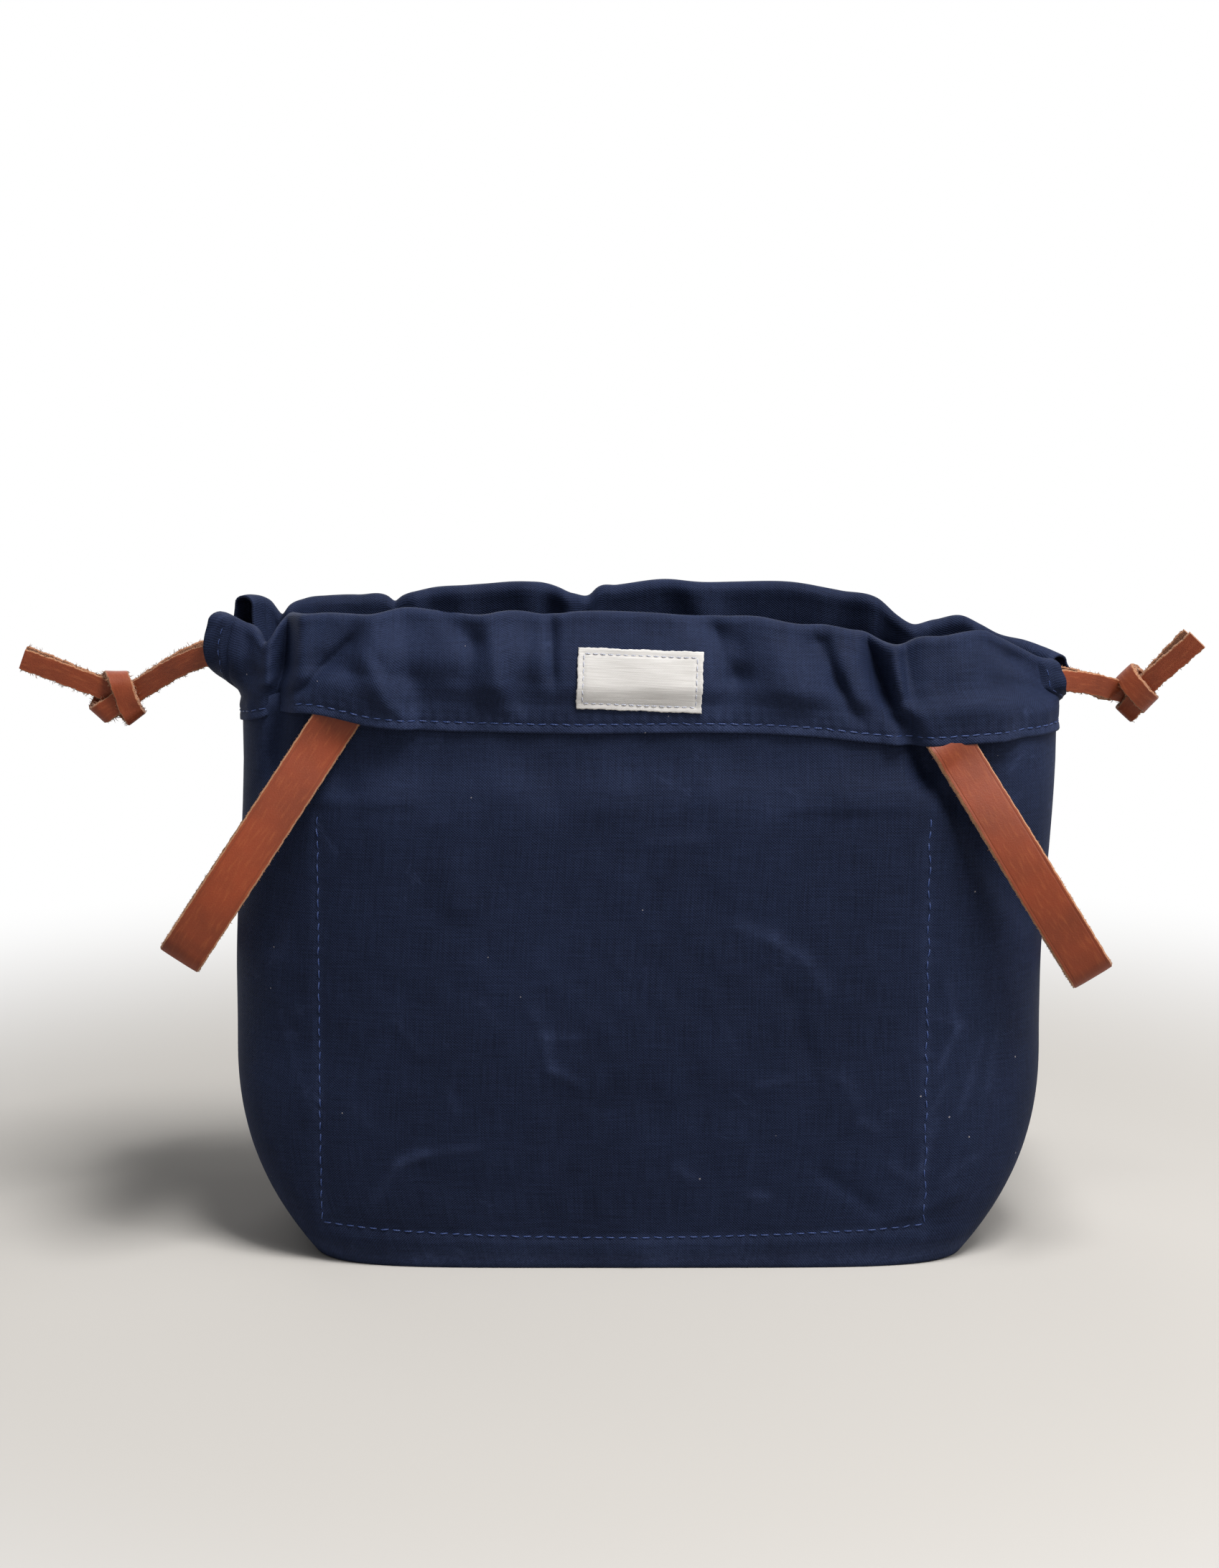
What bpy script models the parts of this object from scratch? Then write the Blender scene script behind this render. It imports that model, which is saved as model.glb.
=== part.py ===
"""Waxed-canvas drawstring pouch with a boxed base, two gathered casings round
its mouth, leather laces knotted together at both sides, and two leather strap
handles sewn under the casings.

Metres, +Z up. The pouch stands on its base at z = 0, its front faces -Y and
its width runs along X. The origin is under the middle of the pouch.
"""

import math

import bpy
import numpy as np

# Body: one piece of canvas folded under the base, with seams at both sides.
BASE_WIDTH = 0.242
BASE_DEPTH = 0.116
BODY_WIDTH = 0.301
MOUTH_DEPTH = 0.104
BELLY = 0.003
CORNER_RISE = 0.075
LEAN = 0.004
CANVAS = 0.001
BASE_POWER = 5.5
MOUTH_POWER = 3.2

# Casings: a folded band on each side of the mouth, lapped over the body's raw edge.
SEAM_HEIGHT = 0.197
SEAM_LAP = 0.007
CASING_HEIGHT = 0.043
TUNNEL_ROOM = 0.006
CASING_FLARE = 0.009
MOUTH_SPLIT = 0.022

# Inner pocket: a panel sewn to the inside of the front.
POCKET_WIDTH = 0.220
POCKET_FLOOR = 0.013
POCKET_TOP = 0.166
POCKET_SLACK = 0.0095
POCKET_SHIFT = -0.006

# Handles: one strap each, tucked under the front and the back casing.
STRAP_WIDTH = 0.0162
STRAP_THICKNESS = 0.0026
HANDLE_SPREAD = 0.216
HANDLE_DROP = 0.084
HANDLE_REACH = 0.0135
HANDLE_DEPTH = 0.128
HANDLE_BEND = 0.006
HANDLE_TUCK = 0.0055

# Laces, the knots where they are tied together, and the label.
LACE_WIDTH = 0.008
LACE_THICKNESS = 0.0018
KNOT_HEIGHT = 0.018
KNOT_THICKNESS = 0.013
KNOT_REACH = 0.0088
KNOT_SAG = 0.0015
LABEL_WIDTH = 0.0445
LABEL_HEIGHT = 0.0215
LABEL_THICKNESS = 0.0005
LABEL_DROP = 0.0245
LABEL_TILT = math.radians(-2.3)

# Clearance between pieces that touch.
GAP = 0.0003

# Mesh density.
HALF_COLUMNS = 36
BODY_ROWS = (0.0, 0.003, 0.012, 0.026, 0.045, 0.070, 0.100, 0.130, 0.155, 0.177)

# Height of the casings' seam lines over SEAM_HEIGHT, and of their rims over the level
# rim, at shares of the half-width from the left end (-1) to the right end (1).
FRONT_SEAM = (
    (-1.0, -0.001), (-0.84, 0.006), (-0.65, 0.002), (-0.30, 0.0), (0.35, -0.001),
    (0.62, -0.005), (0.80, -0.0045), (1.0, -0.004),
)
BACK_SEAM = ((-1.0, -0.001), (-0.60, 0.001), (0.0, 0.0), (0.60, -0.002), (1.0, -0.004))
FRONT_RIM = (
    (-1.0, -0.006), (-0.87, -0.007), (-0.74, -0.002), (-0.52, 0.001), (0.0, 0.0), (0.30, -0.002),
    (0.45, -0.005), (0.62, -0.012), (0.74, -0.008), (0.84, -0.011), (0.92, -0.015), (1.0, -0.018),
)
BACK_RIM = (
    (-1.0, -0.004), (-0.86, -0.008), (-0.76, -0.004), (-0.50, -0.002), (-0.22, 0.0),
    (-0.11, -0.006), (-0.02, 0.001), (0.42, 0.0), (0.56, -0.004), (0.68, -0.014),
    (0.88, -0.013), (1.0, -0.021),
)

# Gathers: place as a share of the half-width, depth inwards, and half-width of the fold.
FRONT_GATHERS = (
    (-0.86, 0.006, 0.070), (-0.57, 0.003, 0.060), (-0.33, 0.003, 0.055), (0.44, 0.002, 0.080),
    (0.65, 0.006, 0.078), (0.92, 0.003, 0.060),
)
BACK_GATHERS = (
    (-0.74, 0.003, 0.060), (-0.50, 0.004, 0.065), (-0.11, 0.006, 0.070), (0.22, 0.002, 0.080),
    (0.68, 0.006, 0.080), (0.90, 0.003, 0.060),
)

# Soft hollows (-) and swells (+) of the front and the back: x share of the half-width,
# height share of the seam height, amount as a share of the base's depth, both spreads.
FRONT_RELIEF = (
    (-0.05, 0.84, -0.026, 0.42, 0.14), (-0.72, 0.86, 0.017, 0.16, 0.16),
    (0.62, 0.80, -0.022, 0.14, 0.13), (0.80, 0.66, 0.017, 0.12, 0.20),
    (-0.35, 0.40, 0.010, 0.30, 0.22), (0.45, 0.30, -0.010, 0.25, 0.20),
)
BACK_RELIEF = (
    (0.10, 0.82, -0.026, 0.45, 0.15), (-0.60, 0.50, 0.0155, 0.25, 0.25),
    (0.55, 0.45, -0.014, 0.25, 0.25),
)

# Routes of the laces' free ends outside the casings, from the casing to the knot, and
# of the doubled tails beyond it.
LEFT_KNOT = (-0.1945, -0.002, 0.2025)
RIGHT_KNOT = (0.1885, -0.002, 0.2035)
LEFT_LEAD = ((-0.1690, 0.2165), (-0.1780, 0.2110))
RIGHT_LEAD = ((0.1640, 0.2085), (0.1720, 0.2070))
LEFT_TAIL = ((-0.2030, 0.2060), (-0.2120, 0.2100), (-0.2210, 0.2138), (-0.2310, 0.2172))
RIGHT_TAIL = ((0.1935, 0.2105), (0.1975, 0.2160), (0.2025, 0.2215), (0.2075, 0.2270))


def smooth(value, low, high):
    """A soft step from 0 at low to 1 at high."""
    t = np.clip((value - low) / (high - low), 0.0, 1.0)
    return t * t * (3.0 - 2.0 * t)


def spline_through(points, at):
    """A smooth curve through (place, value...) points, read at the places given."""
    table = np.array(points, float)
    places, values = table[:, 0], table[:, 1:]
    slopes = np.gradient(values, places, axis=0)
    at = np.clip(np.atleast_1d(at), places[0], places[-1])
    i = np.clip(np.searchsorted(places, at, side="right") - 1, 0, len(places) - 2)
    span = (places[i + 1] - places[i])[:, None]
    t = (at - places[i])[:, None] / span
    start = (2 * t**3 - 3 * t**2 + 1) * values[i] + (t**3 - 2 * t**2 + t) * span * slopes[i]
    return start + (3 * t**2 - 2 * t**3) * values[i + 1] + (t**3 - t**2) * span * slopes[i + 1]


def route_through(points, steps):
    """Evenly spaced points on a smooth curve through a list of 3-D points."""
    points = np.array(points, float)
    lengths = np.linalg.norm(np.diff(points, axis=0), axis=1)
    places = np.concatenate([[0.0], np.cumsum(lengths)])
    table = np.column_stack([places, points])
    return spline_through(table, np.linspace(0.0, places[-1], steps))


def section(height):
    """Half-width, half-depth and squareness of the body at a height."""
    swell = 1.0 - (1.0 - np.clip(height / CORNER_RISE, 0.0, 1.0)) ** 2.2
    half_width = BASE_WIDTH / 2 + (BODY_WIDTH - BASE_WIDTH) / 2 * swell
    taper = smooth(height / SEAM_HEIGHT, 0.30, 0.95)
    half_depth = BASE_DEPTH / 2 + (MOUTH_DEPTH - BASE_DEPTH) / 2 * taper
    half_depth += BELLY * np.sin(math.pi * np.clip(height / (0.95 * SEAM_HEIGHT), 0.0, 1.0))
    power = BASE_POWER + (MOUTH_POWER - BASE_POWER) * smooth(height / SEAM_HEIGHT, 0.0, 0.45)
    return half_width, half_depth, power


def even_spacing(x, y, shares):
    """Points at equal shares of the length of a fine polyline."""
    steps = np.hypot(np.diff(x), np.diff(y))
    run = np.concatenate([[0.0], np.cumsum(steps)])
    run /= run[-1]
    return np.interp(shares, run, x), np.interp(shares, run, y)


def half_oval(half_width, half_depth, power, shares):
    """The front half of a squared oval, from the left seam (0) to the right seam (1)."""
    angle = np.linspace(-math.pi / 2, math.pi / 2, 721)
    sine, cosine = np.sin(angle), np.cos(angle)
    x = half_width * np.sign(sine) * np.abs(sine) ** (2.0 / power)
    y = -half_depth * np.clip(cosine, 0.0, 1.0) ** (2.0 / power)
    return even_spacing(x, y, shares)


def relief(features, across, up):
    """Sum of the soft hollows and swells, fading out under the casing's seam."""
    total = np.zeros_like(across * up)
    for x, z, amount, x_spread, z_spread in features:
        total += amount * np.exp(-((across - x) / x_spread) ** 2 - ((up - z) / z_spread) ** 2)
    return BASE_DEPTH * total * (1.0 - smooth(up, 0.86, 0.95))


def lean_at(height):
    return LEAN * smooth(height / SEAM_HEIGHT, 0.50, 0.95)


def front_y(x, height):
    """Outer face of the front at a place across it and a height."""
    half_width, half_depth, power = section(height)
    across = (x - lean_at(height)) / half_width
    depth = half_depth + relief(FRONT_RELIEF, across, height / SEAM_HEIGHT)
    return -depth * (1.0 - np.clip(np.abs(across), 0.0, 0.999) ** power) ** (1.0 / power)


def front_inward(x, height, distance):
    """A point set in from the front's outer face, square to it."""
    step = 1e-4
    slope_x = (front_y(x + step, height) - front_y(x - step, height)) / (2 * step)
    slope_z = (front_y(x, height + step) - front_y(x, height - step)) / (2 * step)
    inward = np.stack([-slope_x, np.ones_like(slope_x), -slope_z], axis=-1)
    inward /= np.linalg.norm(inward, axis=-1, keepdims=True)
    face = np.stack([x + 0 * slope_x, front_y(x, height), height + 0 * slope_x], axis=-1)
    return face + inward * distance


def seam_height(across, back):
    """Lower edge of a casing: it lifts at the left fold and dips at the right handle."""
    line = BACK_SEAM if back else FRONT_SEAM
    return SEAM_HEIGHT + spline_through(line, across)[:, 0]


def material(name, color, roughness):
    shader = bpy.data.materials.new(name)
    shader.use_nodes = True
    principled = shader.node_tree.nodes["Principled BSDF"]
    principled.inputs["Base Color"].default_value = (*color, 1.0)
    principled.inputs["Roughness"].default_value = roughness
    principled.inputs["Metallic"].default_value = 0.0
    shader.diffuse_color = (*color, 1.0)
    return shader


def mesh_object(name, points, faces, look, collection):
    mesh = bpy.data.meshes.new(name)
    mesh.from_pydata([tuple(p) for p in points], [], faces)
    mesh.update()
    mesh.shade_smooth()
    mesh.set_sharp_from_angle(angle=math.radians(40))
    mesh.materials.append(look)
    item = bpy.data.objects.new(name, mesh)
    collection.objects.link(item)
    return item


def cloth(name, grid, thickness, look, collection, closed=False, pole=None, offset=0.0):
    """A sheet lofted through rows of points, given its thickness by Solidify."""
    rows, columns = grid.shape[:2]
    points = grid.reshape(-1, 3)
    faces = []
    for r in range(rows - 1):
        for c in range(columns if closed else columns - 1):
            d = (c + 1) % columns
            faces.append((r * columns + c, r * columns + d, (r + 1) * columns + d, (r + 1) * columns + c))
    if pole is not None:
        points = np.vstack([points, pole])
        centre = len(points) - 1
        faces += [(centre, (c + 1) % columns, c) for c in range(columns)]
    item = mesh_object(name, points, faces, look, collection)
    wall = item.modifiers.new("Thickness", "SOLIDIFY")
    wall.thickness = thickness
    wall.offset = offset
    return item


def build_body(look, collection):
    """Outer face of the body, from the middle of the base up to its raw top edge."""
    shares = np.arange(HALF_COLUMNS) / HALF_COLUMNS
    rows = []
    for scale in (0.35, 0.70, 0.985):
        rows.append(ring(0.0, shares, scale))
    for height in BODY_ROWS[1:]:
        rows.append(ring(height / BODY_ROWS[-1] * 0.90 * SEAM_HEIGHT, shares))
    for share in (0.25, 0.6, 1.0):
        rows.append(ring(SEAM_HEIGHT, shares, 1.0, share))
    return cloth("body_canvas", np.array(rows), CANVAS, look, collection, closed=True,
                 pole=(0.0, 0.0, 0.0), offset=-1.0)


def ring(height, shares, scale=1.0, to_edge=None):
    """One ring of the body. With to_edge it lies between the last level row and the edge."""
    half_width, half_depth, power = section(height)
    x, y = half_oval(half_width, half_depth, power, shares)
    x = np.concatenate([x, -x])
    y = np.concatenate([y, -y])
    across = x / half_width
    up = np.full_like(x, height / SEAM_HEIGHT)
    shift = np.where(y < 0, relief(FRONT_RELIEF, across, up), relief(BACK_RELIEF, across, up))
    y = y * (1.0 + shift / half_depth)
    z = np.full_like(x, height)
    if to_edge is not None:
        top = np.where(y < 0, seam_height(across, False), seam_height(across, True)) + SEAM_LAP
        seam = 0.5 * (seam_height(across, False) + seam_height(across, True)) + SEAM_LAP
        side = smooth(np.abs(across), 0.97, 1.0)
        top = top + (seam - top) * side
        base = 0.90 * SEAM_HEIGHT
        z = base + (top - base) * to_edge
    return np.stack([x * scale + lean_at(height), y * scale, z], axis=-1)


def casing_middle(back, shares, up):
    """Middle of a casing at a share of its height over the lap, and the way out of it.

    In the lap it follows the body. Above, its ends open outwards and it is gathered.
    """
    gathers = BACK_GATHERS if back else FRONT_GATHERS
    half_width, half_depth, power = section(SEAM_HEIGHT)
    fine = np.linspace(0.0, 1.0, 721)
    x_lap, y_lap = half_oval(half_width - CANVAS / 2, half_depth - CANVAS / 2, power, fine)
    reach = half_width + CASING_FLARE
    across = np.linspace(-1.0, 1.0, 721)
    y_open = -MOUTH_SPLIT / 2 - (half_depth - MOUTH_SPLIT / 2) * (1 - across**4)
    x_open, y_open = even_spacing(reach * across, y_open, fine)
    opened = smooth(up, 0.0, 0.30)
    x = x_lap + (x_open - x_lap) * opened
    y = y_lap + (y_open - y_lap) * opened
    tangent = np.stack([np.gradient(x), np.gradient(y)], axis=-1)
    tangent /= np.linalg.norm(tangent, axis=-1, keepdims=True)
    outward = np.stack([tangent[:, 1], -tangent[:, 0]], axis=-1)
    sunk = np.zeros_like(fine)
    for place, depth, half in gathers:
        sunk += depth * np.exp(-((x / half_width - place) / half) ** 2)
    sunk *= opened
    x = x - outward[:, 0] * sunk
    y = y - outward[:, 1] * sunk
    x, y = np.interp(shares, fine, x), np.interp(shares, fine, y)
    normal = np.stack([np.interp(shares, fine, outward[:, k]) for k in (0, 1)], axis=-1)
    across = np.clip(x / half_width, -1.0, 1.0)
    seam = seam_height(across, back)
    lap = seam + SEAM_LAP + 4 * GAP
    crown = SEAM_HEIGHT + CASING_HEIGHT + spline_through(BACK_RIM if back else FRONT_RIM, across)[:, 0]
    crown -= tunnel_half(1.0) + CANVAS / 2
    z = seam if up < 0 else lap + (crown - lap) * up
    return np.stack([x + LEAN, y, z], axis=-1), normal, across


def tunnel_half(up):
    """Half the distance between the middles of a casing's two walls."""
    return CANVAS + GAP + TUNNEL_ROOM / 2 * smooth(up, 0.0, 0.30) * (1 - 0.4 * smooth(up, 0.6, 1.0))


def casing_shares():
    """Columns of a casing: those of the body, then its two open ends."""
    end = 0.30 / HALF_COLUMNS
    inner = np.arange(1, HALF_COLUMNS) / HALF_COLUMNS
    return np.concatenate([[end], inner, [1.0 - end]])


def casing_grid(back, shares):
    """Rows up a casing's outer wall, over the rim and down its inner wall."""
    levels = (-1.0, 0.0, 0.30, 0.65, 1.0)
    profile = [(1, up, 0.0) for up in levels]
    profile += [(1, 1.0, math.radians(60)), (-1, 1.0, math.radians(60))]
    profile += [(-1, up, 0.0) for up in levels[::-1]]
    rows = []
    for side, up, turn in profile:
        point, normal, across = casing_middle(back, shares, up)
        half = np.full_like(across, tunnel_half(up))
        if side > 0:
            half += (STRAP_THICKNESS + 4 * GAP) * (1.0 - smooth(up, 0.0, 0.35)) * strap_cover(across)
        point[:, :2] += side * (half * math.cos(turn))[:, None] * normal
        point[:, 2] += tunnel_half(1.0) * math.sin(turn)
        if back:
            point[:, 1] *= -1.0
        rows.append(point)
    return np.array(rows)


def strap_cover(across):
    """1 where a casing lies over a tucked strap, falling to 0 beside it."""
    half_width = BODY_WIDTH / 2
    place = HANDLE_SPREAD / 2 / half_width
    flat = (0.75 * STRAP_WIDTH + 0.006) / half_width
    away = np.abs(np.abs(across) - place)
    return 1.0 - smooth(away, flat, flat + 0.009 / half_width)


def build_pocket(look, collection):
    """Panel inside the front, flat along its seams and slack across its top edge."""
    across = np.linspace(-1.0, 1.0, 15)
    x = POCKET_SHIFT + POCKET_WIDTH / 2 * across
    rows = []
    for up in np.linspace(0.0, 1.0, 9):
        height = POCKET_FLOOR + (POCKET_TOP - POCKET_FLOOR) * up
        seat = CANVAS * 1.5 + 2 * GAP
        slack = POCKET_SLACK * (1 - across**4) * float(smooth(up, 0.10, 0.75))
        point = front_inward(x, np.full_like(x, height), seat)
        point[:, 1] += slack
        rows.append(point)
    return cloth("inner_pocket", np.array(rows), CANVAS, look, collection)


def build_handle(name, side, look, collection):
    """One strap: down the front, round under the side and up the back."""
    across = np.array([-0.5, 0.0, 0.5]) * STRAP_WIDTH
    top_x = side * HANDLE_SPREAD / 2
    place = (top_x - LEAN) / (BODY_WIDTH / 2)
    seam = float(seam_height(place, False)[0])
    bottom = np.array([side * (BODY_WIDTH / 2 + HANDLE_REACH), 0.0, seam - HANDLE_DROP])
    down = np.array([bottom[0] - top_x, 0.0, -HANDLE_DROP])
    down /= np.linalg.norm(down)
    wide = np.array([-down[2] * side, 0.0, down[0] * side])
    low = bottom + wide * across[:, None]
    seat = STRAP_THICKNESS / 2 + 2 * GAP
    rows = []
    for back in (False, True):
        mirror = 1.0 if back else -1.0
        edge = float(seam_height(place, back)[0])
        run = []
        for height in (edge + HANDLE_TUCK, edge - 0.001):
            x = low[:, 0] + down[0] / down[2] * (height - low[:, 2])
            y = np.abs(front_y(x, np.full(3, SEAM_HEIGHT))) + seat
            run.append(np.stack([x, mirror * y, np.full(3, height)], axis=-1))
        top = run[-1]
        for share in np.linspace(0.0, 1.0, 8)[1:]:
            row = top + (low - top) * share
            ease = math.sin(share * math.pi / 2)
            row[:, 1] = top[:, 1] + (mirror * HANDLE_DEPTH / 2 - top[:, 1]) * ease
            run.append(row)
        for turn in (22.5, 45.0, 67.5, 90.0):
            turn = math.radians(turn)
            row = low + down * HANDLE_BEND * math.sin(turn)
            row[:, 1] = mirror * (HANDLE_DEPTH / 2 - HANDLE_BEND * (1 - math.cos(turn)))
            run.append(row)
        rows += run[::-1] if back else run
    return cloth(name, np.array(rows), STRAP_THICKNESS, look, collection)


def build_label(look, collection):
    """Flat woven label on the front casing's outer wall."""
    wall = casing_grid(False, casing_shares())[:5]
    middle = wall[0, HALF_COLUMNS // 2, 2] + LABEL_DROP - SEAM_LAP / 2
    rows = []
    for up in np.linspace(-0.5, 0.5, 4):
        row = []
        for across in np.linspace(-0.5, 0.5, 6):
            u, v = across * LABEL_WIDTH, up * LABEL_HEIGHT
            x = u * math.cos(LABEL_TILT) - v * math.sin(LABEL_TILT)
            z = middle + u * math.sin(LABEL_TILT) + v * math.cos(LABEL_TILT)
            wall_y = [np.interp(x, w[:, 0], w[:, 1]) for w in wall]
            wall_z = [np.interp(x, w[:, 0], w[:, 2]) for w in wall]
            y = float(np.interp(z, wall_z, wall_y)) - CANVAS / 2 - LABEL_THICKNESS / 2 - 1.5 * GAP
            row.append((x, y, z))
        rows.append(row)
    return cloth("label", np.array(rows), LABEL_THICKNESS, look, collection)


def lace_route(back):
    """Left knot to right knot: free lead, through the casing's tunnel, free lead."""
    shares = np.linspace(0.006, 0.994, 41)
    tunnel, _, _ = casing_middle(back, shares, 0.56)
    if back:
        tunnel[:, 1] *= -1.0
    beside = (LACE_THICKNESS / 2 + GAP) * (1 if back else -1)
    ends = []
    for knot, lead, mouth in ((LEFT_KNOT, LEFT_LEAD, tunnel[0]), (RIGHT_KNOT, RIGHT_LEAD, tunnel[-1])):
        side = math.copysign(1.0, knot[0])
        start = np.array([knot[0] - side * KNOT_REACH, knot[1] + beside, knot[2] + KNOT_SAG])
        points = [start, start - np.array([side * 0.0035, 0.0, 0.0])]
        for share, (lead_x, lead_z) in zip((0.30, 0.70), reversed(lead)):
            points.append(np.array([lead_x, start[1] + (mouth[1] - start[1]) * share, lead_z]))
        ends.append(points)
    return ends[0] + list(tunnel) + ends[1][::-1]


def build_lace(name, back, look, collection):
    route = route_through(lace_route(back), 78)
    rows = [[p + np.array([0.0, 0.0, k * LACE_WIDTH]) for k in (-0.5, 0.5)] for p in route]
    return cloth(name, np.array(rows), LACE_THICKNESS, look, collection)


def build_knot(name, knot, tail, look, collection):
    """Outer shape of two laces tied in one overhand knot, with their tails side by side."""
    side = math.copysign(1.0, knot[0])
    flat, thick = LACE_WIDTH / 2, LACE_THICKNESS + GAP
    entry = np.array([knot[0] - side * (KNOT_REACH - GAP), knot[1], knot[2] + KNOT_SAG])
    swell = ((0.0, 0.0, 3.0), (0.0016, 0.62, 2.6), (0.0045, 0.97, 2.3), (0.0088, 1.0, 2.3),
             (0.0130, 0.90, 2.3), (0.0155, 0.55, 2.6))
    stations = []
    for along, full, power in swell:
        point = entry + np.array([side * along, 0.0, -KNOT_SAG * float(smooth(along, 0.002, 0.009))])
        tall = flat + (KNOT_HEIGHT / 2 - flat) * full
        deep = thick + (KNOT_THICKNESS / 2 - thick) * full
        stations.append((point, tall, deep, power))
    for x, z in tail:
        stations.append((np.array([x, knot[1], z]), flat, thick, 6.0))
    centres = np.array([s[0] for s in stations])
    along = np.gradient(centres, axis=0)
    along /= np.linalg.norm(along, axis=1, keepdims=True)
    sides = 12
    points, faces = [], []
    for (centre, tall, deep, power), ahead in zip(stations, along):
        up = np.array([-ahead[2], 0.0, ahead[0]])
        for k in range(sides):
            angle = 2 * math.pi * (k + 0.5) / sides
            c, s = math.cos(angle), math.sin(angle)
            rise = tall * math.copysign(abs(s) ** (2 / power), s)
            out = deep * math.copysign(abs(c) ** (2 / power), c)
            points.append(centre + up * rise + np.array([0.0, out, 0.0]))
    for r in range(len(stations) - 1):
        for k in range(sides):
            j = (k + 1) % sides
            faces.append((r * sides + k, r * sides + j, (r + 1) * sides + j, (r + 1) * sides + k))
    last = (len(stations) - 1) * sides
    faces.append(tuple(range(sides))[::-1])
    faces.append(tuple(last + k for k in range(sides)))
    return mesh_object(name, points, faces, look, collection)


def build():
    for item in list(bpy.data.objects):
        bpy.data.objects.remove(item, do_unlink=True)
    pouch = bpy.data.collections.new("drawstring_pouch")
    bpy.context.scene.collection.children.link(pouch)
    canvas = material("waxed_canvas_navy", (0.020, 0.033, 0.090), 0.78)
    lining = material("waxed_canvas_navy_inside", (0.016, 0.026, 0.070), 0.82)
    leather = material("leather_cognac", (0.310, 0.070, 0.024), 0.55)
    lace = material("leather_lace_cognac", (0.330, 0.080, 0.028), 0.58)
    woven = material("woven_label_white", (0.76, 0.75, 0.72), 0.85)
    build_body(canvas, pouch)
    for name, back in (("front_casing", False), ("back_casing", True)):
        cloth(name, casing_grid(back, casing_shares()), CANVAS, canvas, pouch)
    build_pocket(lining, pouch)
    build_handle("left_handle", -1, leather, pouch)
    build_handle("right_handle", 1, leather, pouch)
    build_label(woven, pouch)
    build_lace("front_lace", False, lace, pouch)
    build_lace("back_lace", True, lace, pouch)
    build_knot("left_knot", LEFT_KNOT, LEFT_TAIL, lace, pouch)
    build_knot("right_knot", RIGHT_KNOT, RIGHT_TAIL, lace, pouch)


build()
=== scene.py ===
"""Waxed-canvas drawstring pouch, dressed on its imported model: metres, +Z up, front towards -Y.

The pouch is made in the order in which its maker puts it together, after the camera, the
studio and the laces' free ends.
"""

import math

import bmesh
import bpy
import numpy as np
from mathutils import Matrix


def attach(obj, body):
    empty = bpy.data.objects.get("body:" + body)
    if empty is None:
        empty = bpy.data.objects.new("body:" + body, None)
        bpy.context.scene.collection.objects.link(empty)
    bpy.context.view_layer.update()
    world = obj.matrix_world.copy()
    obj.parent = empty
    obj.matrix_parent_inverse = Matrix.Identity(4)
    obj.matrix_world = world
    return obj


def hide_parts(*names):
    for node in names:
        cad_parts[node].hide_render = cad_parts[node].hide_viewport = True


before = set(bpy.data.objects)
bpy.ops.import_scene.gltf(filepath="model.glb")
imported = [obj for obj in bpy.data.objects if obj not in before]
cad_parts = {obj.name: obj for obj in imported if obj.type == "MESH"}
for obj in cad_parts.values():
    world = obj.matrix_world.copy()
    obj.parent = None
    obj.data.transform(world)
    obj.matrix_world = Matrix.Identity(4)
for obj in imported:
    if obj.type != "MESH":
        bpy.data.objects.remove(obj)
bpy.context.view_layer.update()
scene = bpy.context.scene

# Camera and studio.
# A long lens a little above the rim, looking down ten degrees. The table is pale and plain,
# and turns to the white of the studio away from the pouch.


def placed(name, data):
    """A new object with this data, in the scene."""
    item = bpy.data.objects.new(name, data)
    scene.collection.objects.link(item)
    return item


camera = placed("camera", bpy.data.cameras.new("camera"))
camera.location = (-0.0108, -1.124, 0.3667)
camera.rotation_euler = (math.radians(90.0 - 9.96), 0.0, 0.0)
camera.data.lens = 70.0
camera.data.sensor_width = 36.0
camera.data.clip_start = 0.05
camera.data.clip_end = 30.0
scene.camera = camera


def linear(code):
    """An sRGB hex colour as linear light: c / 12.92 when dark, else ((c + 0.055) / 1.055) ** 2.4."""
    c = np.array([int(code[k:k + 2], 16) for k in (1, 3, 5)]) / 255.0
    c = np.where(c <= 0.04045, c / 12.92, ((c + 0.055) / 1.055) ** 2.4)
    return (*c.tolist(), 1.0)


def feed(tree, target, inputs):
    """Gives a node its inputs: each is a value, or a socket to link."""
    for key, value in inputs.items():
        if isinstance(value, bpy.types.NodeSocket):
            tree.links.new(value, target.inputs[key])
        else:
            target.inputs[key].default_value = value


def node(tree, kind, inputs=None, **settings):
    """Adds one node with its properties and inputs."""
    made = tree.nodes.new(kind)
    for name, value in settings.items():
        setattr(made, name, value)
    feed(tree, made, inputs or {})
    return made


def calc(tree, operation, *values, clamp=False):
    """The result of one sum on values and sockets."""
    made = node(tree, "ShaderNodeMath", dict(enumerate(values)), operation=operation, use_clamp=clamp)
    return made.outputs[0]


def ramp(tree, value, low=0.0, high=1.0, start=0.0, end=1.0, kind="LINEAR"):
    """A value carried from low..high to start..end and held beyond them."""
    ends = {"Value": value, "From Min": low, "From Max": high, "To Min": start, "To Max": end}
    return node(tree, "ShaderNodeMapRange", ends, interpolation_type=kind).outputs["Result"]


def seen_directly(tree):
    """1 for what the camera sees, also mirrored or through something, and 0 for light on its way."""
    rays = node(tree, "ShaderNodeLightPath").outputs
    seen = calc(tree, "ADD", rays["Is Camera Ray"], rays["Is Glossy Ray"])
    return calc(tree, "ADD", seen, rays["Is Transmission Ray"], clamp=True)


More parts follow.
